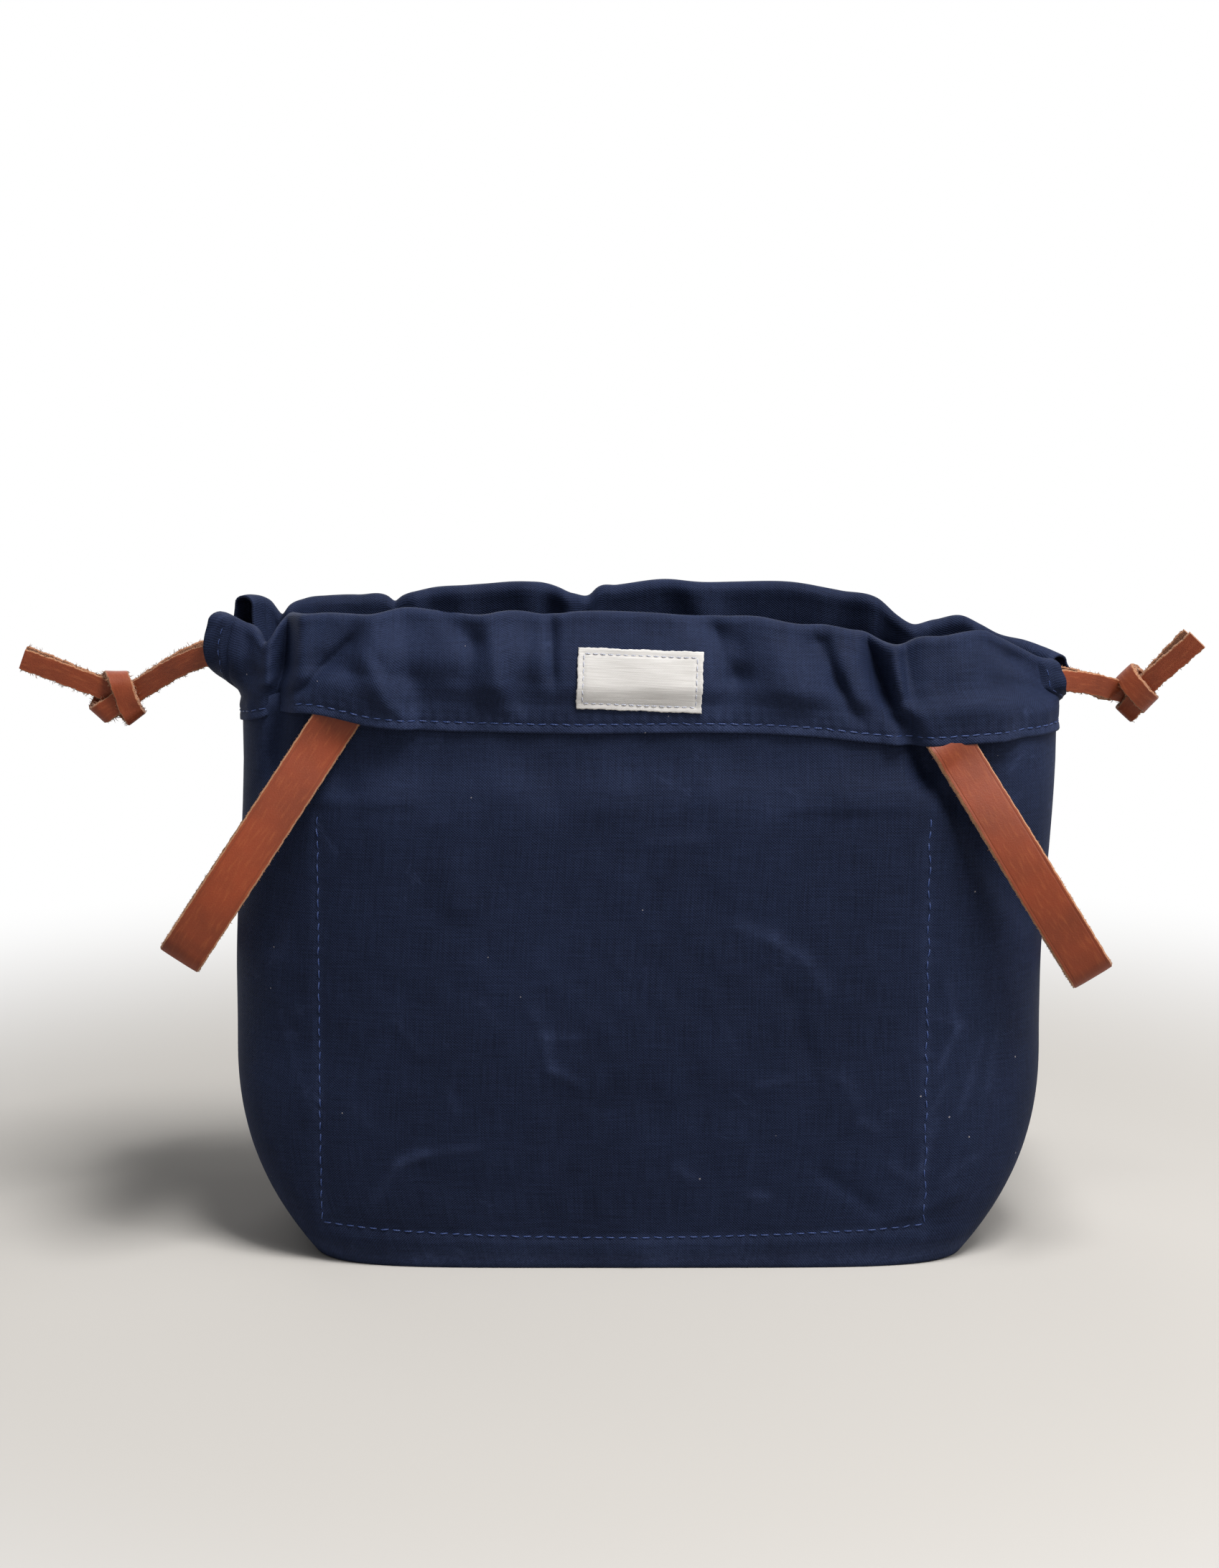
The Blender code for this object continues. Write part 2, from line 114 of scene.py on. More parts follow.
def studio_floor():
    """A flat square 6 m wide at the height the pouch stands on."""
    mesh = bpy.data.meshes.new("table_top")
    mesh.from_pydata([(-3, -3, 0), (3, -3, 0), (3, 3, 0), (-3, 3, 0)], [], [(0, 1, 2, 3)])
    mesh.update()
    item = placed("table_top", mesh)
    finish = bpy.data.materials.new("matt_pale_table")
    finish.use_nodes = True
    tree = finish.node_tree
    tree.nodes.clear()
    place = node(tree, "ShaderNodeTexCoord").outputs["Object"]
    away = node(tree, "ShaderNodeVectorMath", {0: place}, operation="LENGTH").outputs["Value"]
    share = calc(tree, "MULTIPLY", seen_directly(tree), ramp(tree, away, 0.26, 0.66, kind="SMOOTHSTEP"))
    matt = node(tree, "ShaderNodeBsdfDiffuse", {"Color": linear("#b4b1ad")})
    glow = node(tree, "ShaderNodeEmission", {"Color": (1.0, 1.0, 1.0, 1.0), "Strength": 1.0})
    both = node(tree, "ShaderNodeMixShader", {0: share, 1: matt.outputs[0], 2: glow.outputs[0]})
    node(tree, "ShaderNodeOutputMaterial", {"Surface": both.outputs[0]})
    mesh.materials.append(finish)


studio_floor()


def studio_light(name, place, size, watts, tint):
    """A square soft box at a place, turned to the middle of the pouch."""
    lamp = bpy.data.lights.new(name, "AREA")
    lamp.shape = "SQUARE"
    lamp.size = size
    lamp.energy = watts
    lamp.color = tint
    item = placed(name, lamp)
    back = np.array(place) - (0.0, 0.0, 0.12)
    item.location = place
    item.rotation_euler = (
        math.atan2(math.hypot(back[0], back[1]), back[2]), 0.0, math.atan2(back[0], -back[1]),
    )


studio_light("soft_box_above", (0.42, -0.52, 1.60), 0.60, 34.0, (1.0, 0.99, 0.975))
studio_light("soft_box_right", (1.25, -0.75, 1.35), 1.9, 25.0, (1.0, 0.99, 0.98))
studio_light("soft_box_left", (-1.20, -1.00, 1.20), 1.4, 2.5, (0.97, 0.985, 1.0))
studio_light("soft_box_behind", (-0.50, 1.40, 1.30), 1.4, 9.0, (0.97, 0.985, 1.0))

world = bpy.data.worlds.new("white_studio")
scene.world = world
world.use_nodes = True
sky = world.node_tree
sky.nodes.clear()
sky_level = ramp(sky, seen_directly(sky), start=0.10, end=1.0)
sky_white = node(sky, "ShaderNodeBackground", {"Color": (1.0, 1.0, 1.0, 1.0), "Strength": sky_level})
node(sky, "ShaderNodeOutputWorld", {"Surface": sky_white.outputs[0]})
scene.view_settings.view_transform = "Standard"

# Laces' free ends.
# Two vegetable-tanned leather laces, 8 mm wide and 1.5 mm thick, cut by hand from a side. One
# runs in each casing, and at each side of the pouch the two are laid flesh to flesh and tied
# together in one overhand knot. The grain faces outwards, and the cut edges are raw and hairy.

LACE_WIDTH = 0.008
LACE_THICKNESS = 0.0015
LACE_APART = 0.0008


def smooth(value, low, high):
    """A soft step from 0 at low to 1 at high: 3 t^2 - 2 t^3."""
    t = np.clip((value - low) / (high - low), 0.0, 1.0)
    return t * t * (3.0 - 2.0 * t)


def spline_through(points, at):
    """A smooth curve through (place, value...) rows: cubic pieces whose slopes are the rows' own."""
    table = np.array(points, float)
    places, values = table[:, 0], table[:, 1:]
    slopes = np.gradient(values, places, axis=0)
    at = np.clip(np.atleast_1d(at), places[0], places[-1])
    i = np.clip(np.searchsorted(places, at, side="right") - 1, 0, len(places) - 2)
    span = (places[i + 1] - places[i])[:, None]
    t = (at - places[i])[:, None] / span
    start = (2 * t**3 - 3 * t**2 + 1) * values[i] + (t**3 - 2 * t**2 + t) * span * slopes[i]
    return start + (3 * t**2 - 2 * t**3) * values[i + 1] + (t**3 - t**2) * span * slopes[i + 1]


def run_along(points):
    """How far along a path each of its points lies."""
    return np.concatenate([[0.0], np.cumsum(np.linalg.norm(np.diff(points, axis=0), axis=1))])


def unit(vectors):
    """Directions one long."""
    return vectors / np.linalg.norm(vectors, axis=-1, keepdims=True)


def strap_path(rows, steps):
    """Even points down a strap's middle and its grain side's direction, from rows of both.

    Both are carried by one smooth curve over the length, and the direction is then made square
    to the path.
    """
    rows = np.array(rows, float)
    run = run_along(rows[:, :3])
    fine = spline_through(np.column_stack([run, rows]), np.linspace(0.0, run[-1], steps * 4))
    run = run_along(fine[:, :3])
    at = np.linspace(0.0, run[-1], steps)
    fine = np.stack([np.interp(at, run, fine[:, k]) for k in range(6)], axis=1)
    middle = fine[:, :3]
    ahead = unit(np.gradient(middle, axis=0))
    grain = unit(fine[:, 3:] - (fine[:, 3:] * ahead).sum(1, keepdims=True) * ahead)
    return middle, ahead, grain, at


def grid_quads(rows, columns, ring=False):
    """Faces between the points of a grid; on a ring the last column meets the first."""
    r, c = np.meshgrid(np.arange(rows - 1), np.arange(columns - (not ring)), indexing="ij")
    low, high, d = r * columns, (r + 1) * columns, (c + 1) % columns
    return np.stack([low + c, low + d, high + d, high + c], axis=-1).reshape(-1, 4)


def smooth_mesh(name, points, faces, finishes):
    """A smooth-shaded mesh with its materials, from points and faces of any size."""
    mesh = bpy.data.meshes.new(name)
    mesh.from_pydata(points.reshape(-1, 3).tolist(), [], faces)
    for finish in finishes:
        mesh.materials.append(finish)
    mesh.shade_smooth()
    return mesh


def strap_mesh(name, rows, width, thickness, finishes, steps, ragged=0.00012, seed=1):
    """A flat strap: a rectangle with eased corners carried along a path.

    Point (s, a) lies at middle(s) + across(s) * w(a) + grain(s) * n(a), where w and n go round
    the rectangle. The two cut edges wander by a sum of sines. UV holds metres along and across.
    """
    middle, ahead, grain, at = strap_path(rows, steps)
    across = np.cross(grain, ahead)
    half, deep, ease = width / 2, thickness / 2, 0.22 * thickness
    face = np.linspace(-(half - ease), half - ease, 7)
    crown = 0.06 * thickness * (1 - (face / half) ** 4)
    w = np.concatenate([face, [half, half], face[::-1], [-half, -half]])
    eased = np.array([deep - ease, ease - deep])
    n = np.concatenate([deep + crown, eased, np.full(7, -deep), -eased])
    phase = np.random.default_rng(seed).uniform(0, 6.28, (2, 4))
    waves = np.array([0.9, 2.3, 4.1, 7.7])[:, None] * at * 1000.0
    fall = np.array([1, 1.4, 2, 2.6])[:, None]
    sway = [ragged * (np.sin(waves + phase[k][:, None]) / fall).sum(0)[:, None] for k in (0, 1)]
    place = w + np.where(w > 0, sway[0], -sway[1]) * (np.abs(w) / half) ** 3
    grid = middle[:, None] + across[:, None] * place[..., None] + grain[:, None] * n[None, :, None]
    rows_n, ring = grid.shape[:2]
    quads = grid_quads(rows_n, ring, True)[:, [0, 3, 2, 1]]
    ends = [tuple(range(ring)), tuple((rows_n - 1) * ring + k for k in range(ring))[::-1]]
    mesh = smooth_mesh(name, grid, quads.tolist() + ends, finishes)
    around = np.array([0] * 6 + [1] * 3 + [2] * 6 + [1] * 3)
    index = np.concatenate([np.tile(around, rows_n - 1), [1, 1]])
    mesh.polygons.foreach_set("material_index", index.astype(np.int32))
    layer = mesh.uv_layers.new(name="UVMap")
    corner = np.zeros(len(mesh.loops), np.int32)
    mesh.loops.foreach_get("vertex_index", corner)
    uv = np.stack([at[corner // ring], place.reshape(-1)[corner]], -1)
    layer.data.foreach_set("uv", uv.ravel())
    mesh.set_sharp_from_angle(angle=math.radians(35))
    item = placed(name, mesh)
    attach(item, "root")
    return item, (middle, ahead, grain, across)


def new_finish(name):
    """A node material, its tree, and where on the object and on the UV map it is."""
    made = bpy.data.materials.new(name)
    made.use_nodes = True
    tree = made.node_tree
    spot = node(tree, "ShaderNodeTexCoord").outputs["Object"]
    return made, tree, spot, node(tree, "ShaderNodeUVMap", uv_map="UVMap").outputs[0]


def noise(tree, place, scale, detail, roughness=0.5, distortion=0.0):
    """Cloudy grey value, with scale patches to the metre."""
    inputs = {"Vector": place, "Scale": scale, "Detail": detail, "Roughness": roughness}
    return node(tree, "ShaderNodeTexNoise", {**inputs, "Distortion": distortion}).outputs["Fac"]


def streaks(tree, place, along, across, detail):
    """Noise drawn out: patches to the metre along the UV map and across it."""
    stretched = node(tree, "ShaderNodeMapping", {"Vector": place, "Scale": (along, across, 1.0)})
    return noise(tree, stretched.outputs[0], 1.0, detail)


def blend(tree, share, first, second):
    """The colour at a share of the way between two, each a hex code or a socket."""
    first, second = (linear(c) if isinstance(c, str) else c for c in (first, second))
    return node(tree, "ShaderNodeMix", {0: share, 6: first, 7: second}, data_type="RGBA").outputs[2]


def bump(tree, height, strength, distance, **below):
    """The normal that a height gives, distance metres deep."""
    inputs = {"Height": height, "Strength": strength, "Distance": distance, **below}
    return node(tree, "ShaderNodeBump", inputs).outputs[0]


def grain_leather(name, base, dark, pale, half_width, crease):
    """Vegetable-tanned grain leather: pores about 0.4 mm apart, soft clouds, and a burnished edge.

    Dyed through and lightly waxed, so it has a low, broad shine. With crease, an edge line is
    pressed 1.5 mm in from each edge.
    """
    finish, tree, spot, uv = new_finish(name)
    clouds = noise(tree, spot, 55.0, 4.0)
    strokes = streaks(tree, uv, 160.0, 900.0, 3.0)
    pores = node(tree, "ShaderNodeTexVoronoi", {"Vector": spot, "Scale": 2300.0}, feature="F1")
    wrinkle = node(tree, "ShaderNodeTexVoronoi", {"Vector": spot, "Scale": 1100.0},
                   feature="DISTANCE_TO_EDGE")
    wrinkle = ramp(tree, wrinkle.outputs["Distance"], high=0.22)
    across = node(tree, "ShaderNodeSeparateXYZ", {0: uv}).outputs[1]
    away = calc(tree, "ABSOLUTE", across)
    rim = ramp(tree, away, half_width - 0.0009, half_width, kind="SMOOTHSTEP")
    colour = blend(tree, ramp(tree, clouds, 0.3, 0.72), dark, base)
    colour = blend(tree, ramp(tree, strokes, 0.52, 0.75, end=0.45), colour, pale)
    colour = blend(tree, ramp(tree, pores.outputs["Distance"], 0.10, 0.30, 0.35, 0.0), colour, dark)
    colour = blend(tree, calc(tree, "MULTIPLY", rim, 0.5), colour, pale)
    height = calc(tree, "MULTIPLY_ADD", wrinkle, 0.5, strokes)
    if crease:
        gap = calc(tree, "ABSOLUTE", calc(tree, "SUBTRACT", away, half_width - 0.0015))
        line = ramp(tree, gap, 0.00008, 0.00040, 1.0, 0.0)
        height = calc(tree, "MULTIPLY_ADD", line, -1.6, height)
        colour = blend(tree, calc(tree, "MULTIPLY", line, 0.55), colour, dark)
    feed(tree, tree.nodes["Principled BSDF"], {
        "Base Color": colour, "Roughness": ramp(tree, clouds, start=0.44, end=0.62), "IOR": 1.48,
        "Specular IOR Level": 0.34, "Normal": bump(tree, height, 0.45, 0.00010),
    })
    return finish


def cut_leather(name, pale, dark, scale):
    """The raw inside of leather, at a cut edge or on the flesh side: matt, fibrous and mottled.

    Fibre bundles are about 0.3 mm, so the noise has that size.
    """
    finish, tree, spot, _ = new_finish(name)
    fibre = noise(tree, spot, scale, 5.0, 0.7)
    feed(tree, tree.nodes["Principled BSDF"], {
        "Base Color": blend(tree, ramp(tree, fibre, 0.34, 0.66), dark, pale), "Roughness": 0.9,
        "Sheen Weight": 0.2, "Normal": bump(tree, fibre, 0.9, 0.0003),
    })
    return finish


lace_grain = grain_leather("veg_tanned_lace_grain", "#8a3d1f", "#662a11", "#9c5431", LACE_WIDTH / 2, False)
lace_edge = cut_leather("raw_cut_edge", "#b07c58", "#7b4a2e", 2600.0)
lace_flesh = cut_leather("flesh_side", "#8f5f41", "#5f3522", 2200.0)


def fold_rows(corner, before, after, y_in, y_out):
    """A strap laid back over itself: a helix on a cylinder whose axis halves the two directions.

    The strap comes along before at depth y_in and leaves along after at y_out. Its middle moves
    by radius * angle / tan(lean) along the axis, as a flat strap does when it is folded askew.
    """
    before, after = unit(before), unit(after)
    axis, out = unit(before + after), unit(before - after)
    radius, away = abs(y_out - y_in) / 2, math.copysign(1.0, y_out - y_in)
    lean = (before @ axis) / (before @ out)
    turn = np.linspace(0.0, math.pi, 7)
    slide = radius * (turn - math.pi / 2) * lean
    flat = corner + out * (radius * (np.sin(turn)[:, None] - 1.0)) + axis * slide[:, None]
    y = (y_in + y_out) / 2 - away * radius * np.cos(turn)
    grain = out * np.sin(turn)[:, None]
    return np.stack([flat[:, 0], y, flat[:, 1], grain[:, 0], -away * np.cos(turn), grain[:, 1]], axis=1)


def left_tie():
    """Both laces' shared middle through the left knot, in mm: lead, three folds and the tail."""
    lead, under, over, low = (-184.0, 206.3), (-200.8, 196.6), (-194.0, 210.6), (-187.2, 195.6)
    tail = np.array([(-198.6, 205.2), (-208.0, 209.0), (-218.0, 212.9), (-228.6, 216.8)])
    runs = np.diff(np.array([lead, under, over, low, tail[0]]), axis=0)
    rows = [[(-187.0, -3.6, 204.6, 0.0, -1.0, 0.0)]]
    rows.append(fold_rows(np.array(under), runs[0], runs[1], -3.5, 2.7))
    rows.append(fold_rows(np.array(over), runs[1], runs[2], 2.7, -6.5))
    rows.append(fold_rows(np.array(low), runs[2], runs[3], -6.5, -0.4))
    rows.append([(x, -0.6 - 0.25 * k, z, 0.0, 1.0, 0.0) for k, (x, z) in enumerate(tail)])
    return np.concatenate([np.array(r, float) for r in rows])


def right_tie():
    """Both laces' shared middle through the right knot, in mm: in, round the wrap, up through it.

    The rows are places across, behind and along the wrap's own axis, and the grain's direction.
    """
    centre = np.array([185.2, -2.0, 205.9])
    axes = np.array([(0.737, 0.0, -0.676), (0.149, 0.977, 0.162), (0.660, -0.220, 0.720)])
    rows = np.array([
        (-4.8, -0.4, -5.6, 0, -1, 0), (-0.5, 1.0, -2.9, 0, -1, 0), (3.2, 1.7, -1.2, 0.6, -0.8, 0),
        (4.6, 3.0, -0.4, 1, 0, 0), (3.0, 4.3, 0.3, 0.5, 0.85, 0), (-1.0, 4.8, 1.2, 0, 1, 0),
        (-5.0, 3.0, 1.4, -0.7, 0.7, 0), (-6.7, 0.0, 1.3, -1, 0, 0), (-5.0, -3.4, 1.0, -0.7, -0.7, 0),
        (0.0, -5.0, 0.4, 0, -1, 0), (5.0, -3.5, -0.2, 0.7, -0.7, 0), (6.9, 0.2, -1.0, 1, 0, 0),
        (6.0, 3.9, -3.2, 0.5, 0.87, 0), (4.9, 4.9, -6.2, 0.1, 1, 0), (4.4, 4.0, -8.8, 0, 0.6, -0.8),
        (4.2, 2.0, -9.9, 0, 0, -1), (3.9, -0.2, -8.8, 0, -0.7, -0.7), (3.2, -1.4, -6.0, 0, -1, 0),
        (1.8, -1.9, -0.5, 0, -1, 0), (0.9, -2.0, 5.0, 0, -1, 0), (0.8, -2.2, 12.0, 0, -1, 0),
        (0.8, -2.4, 20.0, 0, -1, 0), (0.8, -2.6, 29.0, 0, -1, 0),
    ])
    return np.concatenate([centre + rows[:, :3] @ axes, rows[:, 3:] @ axes], axis=1)


def lace_end(name, tie, lead, side, splay, seed):
    """One lace from inside its casing to its cut tip: its own lead, then one side of the tie.

    side is 1 for the front lace, which lies outside in the tie, and -1 for the back one.
    """
    tie = np.array(tie)
    grain = unit(tie[:, 3:])
    share = smooth(np.arange(len(tie)), len(tie) - 4.0, len(tie) - 1.0)[:, None]
    middle = tie[:, :3] + side * grain * 1000.0 * LACE_APART + share * np.array(splay)
    rows = np.concatenate([np.array(lead, float), np.concatenate([middle, side * grain], axis=1)])
    rows[:, :3] /= 1000.0
    item, path = strap_mesh(name, rows, LACE_WIDTH, LACE_THICKNESS, (lace_grain, lace_edge, lace_flesh),
                            260, 0.00013, seed)
    return item, path


def edge_hairs(name, path, width, thickness, count, longest, seed):
    """Loose fibres on cut edges: each a thin three-sided spike bent once, placed at random.

    A hair starts on an edge at middle + across * half the width and leans out by random angles.
    """
    middle, ahead, grain, across = path
    rng = np.random.default_rng(seed)
    i = rng.integers(1, len(middle) - 1, count)
    side = rng.choice([-1.0, 1.0], count)[:, None]
    depth = rng.uniform(-0.5, 0.45, count)[:, None] * thickness
    root = middle[i] + across[i] * side * width / 2 + grain[i] * depth
    lean, sweep = (rng.normal(0, wide, (count, 1)) for wide in (0.45, 0.9))
    out = unit(across[i] * side + grain[i] * lean + ahead[i] * sweep)
    long = longest * rng.uniform(0.25, 1.0, count)[:, None] ** 2
    bend = unit(out + 0.9 * rng.normal(0, 1.0, (count, 3)))
    knee = root + out * long * 0.55
    tip = knee + bend * long * 0.45
    u = unit(np.cross(out, ahead[i] + 0.3 * grain[i]))
    v = np.cross(out, u)
    thick = rng.uniform(0.00007, 0.00015, count)[:, None]
    ring = [u * math.cos(a) + v * math.sin(a) for a in (0.0, 2.0944, 4.1888)]
    root = root - out * 0.0002
    low, high = [root + r * thick for r in ring], [knee + r * thick * 0.8 for r in ring]
    points = np.stack(low + high + [tip], axis=1)
    shape = np.array([(0, 1, 4), (0, 4, 3), (1, 2, 5), (1, 5, 4), (2, 0, 3), (2, 3, 5), (3, 4, 6), (4, 5, 6),
                      (5, 3, 6), (0, 2, 1)])
    faces = (np.arange(count) * 7)[:, None, None] + shape[None]
    item = placed(name, smooth_mesh(name, points, faces.reshape(-1, 3).tolist(), [lace_edge]))
    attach(item, "root")
    return item


# Where each lace leaves its casing, its way from inside there to the knot in mm with its
# grain's direction, and how far its tip ends up from the pair's middle.
LACE_ENDS = {
    ("left", "front"): ((-0.1600, -0.0115, 0.2190), (0.2, 0.3, 0.9), [
        (-150.0, -15.5, 220.8, -0.60, -0.80, 0.0), (-160.0, -11.3, 218.9, -0.42, -0.90, 0.0),
        (-171.0, -8.0, 214.3, -0.15, -1.0, 0.05), (-180.0, -5.4, 208.9, 0.0, -1.0, 0.0)]),
    ("left", "back"): ((-0.1545, 0.0115, 0.2205), (0.0, 0.0, 0.0), [
        (-146.0, 17.0, 221.6, -0.60, 0.80, 0.0), (-154.5, 11.0, 220.6, -0.40, 0.92, 0.0),
        (-168.0, 3.2, 216.4, -0.30, 0.95, 0.0), (-179.5, -1.6, 209.6, 0.0, 1.0, 0.0)]),
    ("right", "front"): ((0.1580, -0.0120, 0.2100), (0.6, -0.8, -0.4), [
        (148.0, -16.5, 210.9, 0.60, -0.80, 0.0), (158.0, -11.8, 209.9, 0.40, -0.92, 0.0),
        (167.0, -7.6, 208.3, 0.15, -1.0, 0.0), (175.0, -4.6, 206.1, 0.0, -1.0, 0.0)]),
    ("right", "back"): ((0.1625, 0.0108, 0.2080), (-1.3, 0.7, 0.2), [
        (154.0, 16.0, 208.6, 0.60, 0.80, 0.0), (161.5, 10.6, 207.8, 0.40, 0.92, 0.0),
        (169.0, 4.4, 206.6, 0.20, 0.98, 0.0), (175.6, 0.6, 204.8, 0.0, 1.0, 0.0)]),
}
ties = {"left": left_tie(), "right": right_tie()}
hairs = {"left": (420, 0.0022), "right": (200, 0.0014)}
for seed, ((which, lace), (mouth, splay, lead)) in enumerate(LACE_ENDS.items(), 11):
    end, route = lace_end(f"{which}_end_of_{lace}_lace", ties[which], lead,
                          1.0 if lace == "front" else -1.0, splay, seed)
    fuzz = edge_hairs(f"{which}_hairs_of_{lace}_lace", route, LACE_WIDTH, LACE_THICKNESS,
                      *hairs[which], seed)
    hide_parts(f"{which}_knot")

# Waxed canvas.
# Navy cotton duck of about 0.6 mm, plain weave, 18 warp and 22 weft threads to the centimetre,
# waxed. Wax leaves it dark and slightly shiny, paler where it was folded or rubbed. The weave's
# crowns are painted lighter as glints and its hollows darker as shade, and the body's upper band
# and sides are painted paler as light.

WARP_PITCH = 0.00055
WEFT_PITCH = 0.00045


def plain_weave(tree, place, warp_pitch, weft_pitch):
    """sin(u) * sin(v), with u and v in metres over the thread pitch, times pi."""
    turns = (math.pi / warp_pitch, math.pi / weft_pitch, 0.0)
    turns = node(tree, "ShaderNodeVectorMath", {0: place, 1: turns}, operation="MULTIPLY")
    waves = node(tree, "ShaderNodeVectorMath", {0: turns.outputs[0]}, operation="SINE")
    waves = node(tree, "ShaderNodeSeparateXYZ", {0: waves.outputs[0]}).outputs
    return calc(tree, "MULTIPLY", waves[0], waves[1])


def waxed_canvas(name, dark, light, wear_and_painted_light):
    """Plain weave at its real size, slubby threads, wax clouds and rubbed lines. The weave's height
    also sets the colour: painted glints on the yarn crowns and painted shade between them.

    The attribute wear_and_painted_light says where the cloth was creased or chafed, and where it
    is painted paler in place of light.
    """
    finish, tree, spot, uv = new_finish(name)
    waver = node(tree, "ShaderNodeTexNoise", {"Vector": uv, "Scale": 220.0, "Detail": 1.0}).outputs["Color"]
    drift = node(tree, "ShaderNodeVectorMath", {0: waver, 1: (0.5, 0.5, 0.5)}, operation="SUBTRACT")
    drift = node(tree, "ShaderNodeVectorMath", {0: drift.outputs[0], "Scale": 0.0007}, operation="SCALE")
    cloth = node(tree, "ShaderNodeVectorMath", {0: uv, 1: drift.outputs[0]}, operation="ADD").outputs[0]
    weave = plain_weave(tree, cloth, WARP_PITCH, WEFT_PITCH)
    slubs = calc(tree, "ADD", streaks(tree, cloth, 1 / 0.0007, 1 / 0.016, 2.0),
                 streaks(tree, cloth, 1 / 0.014, 1 / 0.0006, 2.0))
    clouds = noise(tree, spot, 16.0, 5.0, 0.6)
    # Painted light: the weave's height lightens the yarn crowns as glints and darkens the hollows between
    # them as shade.
    level = calc(tree, "MULTIPLY_ADD", weave, 0.42, 0.02)
    level = calc(tree, "MULTIPLY_ADD", slubs, 0.74, level)
    level = calc(tree, "MULTIPLY_ADD", clouds, 0.75, level)
    colour = blend(tree, ramp(tree, level, 0.57, 1.67), dark, light)
    scuff = ramp(tree, noise(tree, spot, 38.0, 6.0, 0.72, 0.8), 0.60, 0.80, end=0.40, kind="SMOOTHSTEP")
    # The paler colour stands for wear, and for painted light on the body's upper band and sides.
    wear_and_painted_light_share = node(tree, "ShaderNodeAttribute", attribute_name="wear_and_painted_light").outputs["Fac"]
    patchy = ramp(tree, clouds, 0.35, 0.6, 0.35)
    grit = ramp(tree, noise(tree, spot, 700.0, 3.0, 0.7), 0.25, 0.70, 0.25)
    patchy = calc(tree, "MULTIPLY", patchy, grit)
    colour = blend(tree, calc(tree, "MULTIPLY_ADD", wear_and_painted_light_share, patchy, scuff, clamp=True), colour, wear_and_painted_light)
    lint = node(tree, "ShaderNodeTexVoronoi", {"Vector": spot, "Scale": 110.0}).outputs
    pick = node(tree, "ShaderNodeSeparateColor", {0: lint["Color"]}).outputs[0]
    small = calc(tree, "LESS_THAN", lint["Distance"], 0.035)
    specks = calc(tree, "MULTIPLY", small, calc(tree, "LESS_THAN", pick, 0.45))
    colour = blend(tree, calc(tree, "MULTIPLY", specks, 0.6), colour, "#a7a1a4")
    soft = bump(tree, noise(tree, spot, 70.0, 3.0), 0.35, 0.0015)
    fine = calc(tree, "MULTIPLY_ADD", slubs, 0.7, weave)
    feed(tree, tree.nodes["Principled BSDF"], {
        "Base Color": colour, "Roughness": ramp(tree, clouds, start=0.56, end=0.76), "IOR": 1.45,
        "Specular IOR Level": 0.07, "Normal": bump(tree, fine, 0.6, 0.00012, Normal=soft),
    })
    return finish


canvas_out = waxed_canvas("waxed_cotton_duck_navy", "#0a0e1c", "#212a43", "#3c4768")
# A darker copy of the same canvas for the pocket inside the pouch: painted shade.
canvas_painted_shade_inside = waxed_canvas("waxed_cotton_duck_navy_painted_shade_inside", "#080c18", "#171f35", "#283250")


def cloth_mesh(name, grid, uv, finish, thickness, offset, closed=False, floor_uv=None, wear_and_painted_light=None):
    """Cloth through a grid of points, four neighbours to a face, with Solidify for its thickness.

    On a closed grid the last column joins the first, and uv has one column more. floor_uv gives
    rows that lie flat their own flat pattern, and the first ring is then closed with one face.
    """
    rows, columns = grid.shape[:2]
    faces = grid_quads(rows, columns, closed)
    corner = uv.reshape(-1, 2)[grid_quads(rows, uv.shape[1])]
    if floor_uv is not None:
        plan, flat_rows = floor_uv
        low = faces[:, 2] // columns < flat_rows
        corner[low] = plan.reshape(-1, 2)[faces[low]]
    loops = corner.reshape(-1, 2)
    face_list = faces.tolist()
    if floor_uv is not None:
        face_list.append(list(range(columns))[::-1])
        loops = np.concatenate([loops, plan[0, ::-1]])
    mesh = smooth_mesh(name, grid, face_list, [finish])
    mesh.uv_layers.new(name="UVMap").data.foreach_set("uv", loops.ravel())
    mesh.attributes.new("wear_and_painted_light", "FLOAT", "POINT").data.foreach_set(
        "value", (np.zeros(rows * columns) if wear_and_painted_light is None else wear_and_painted_light.ravel()).astype(np.float32))
    item = placed(name, mesh)
    wall = item.modifiers.new("Thickness", "SOLIDIFY")
    wall.thickness = thickness
    wall.offset = offset
    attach(item, "root")
    return item


# Body.
# One piece of waxed canvas folded under the base, sewn up at both sides, with its two lower
# corners boxed: a flat base, ends that lean in to it, and slack walls.

BASE_WIDTH, BASE_DEPTH = 0.242, 0.116
BODY_WIDTH, MOUTH_DEPTH = 0.301, 0.104
BELLY, CORNER_RISE, LEAN = 0.003, 0.075, 0.004
CANVAS = 0.0009
SEAM_HEIGHT, SEAM_LAP = 0.197, 0.007
FRONT_SEAM = (
    (-1, -0.001), (-0.84, 0.006), (-0.65, 0.002), (-0.3, 0), (0.35, -0.001), (0.62, -0.005), (0.8, -0.0045),
    (1, -0.004),
)
BACK_SEAM = (
    (-1, -0.001), (-0.6, 0.001), (0, 0), (0.6, -0.002), (1, -0.004),
)


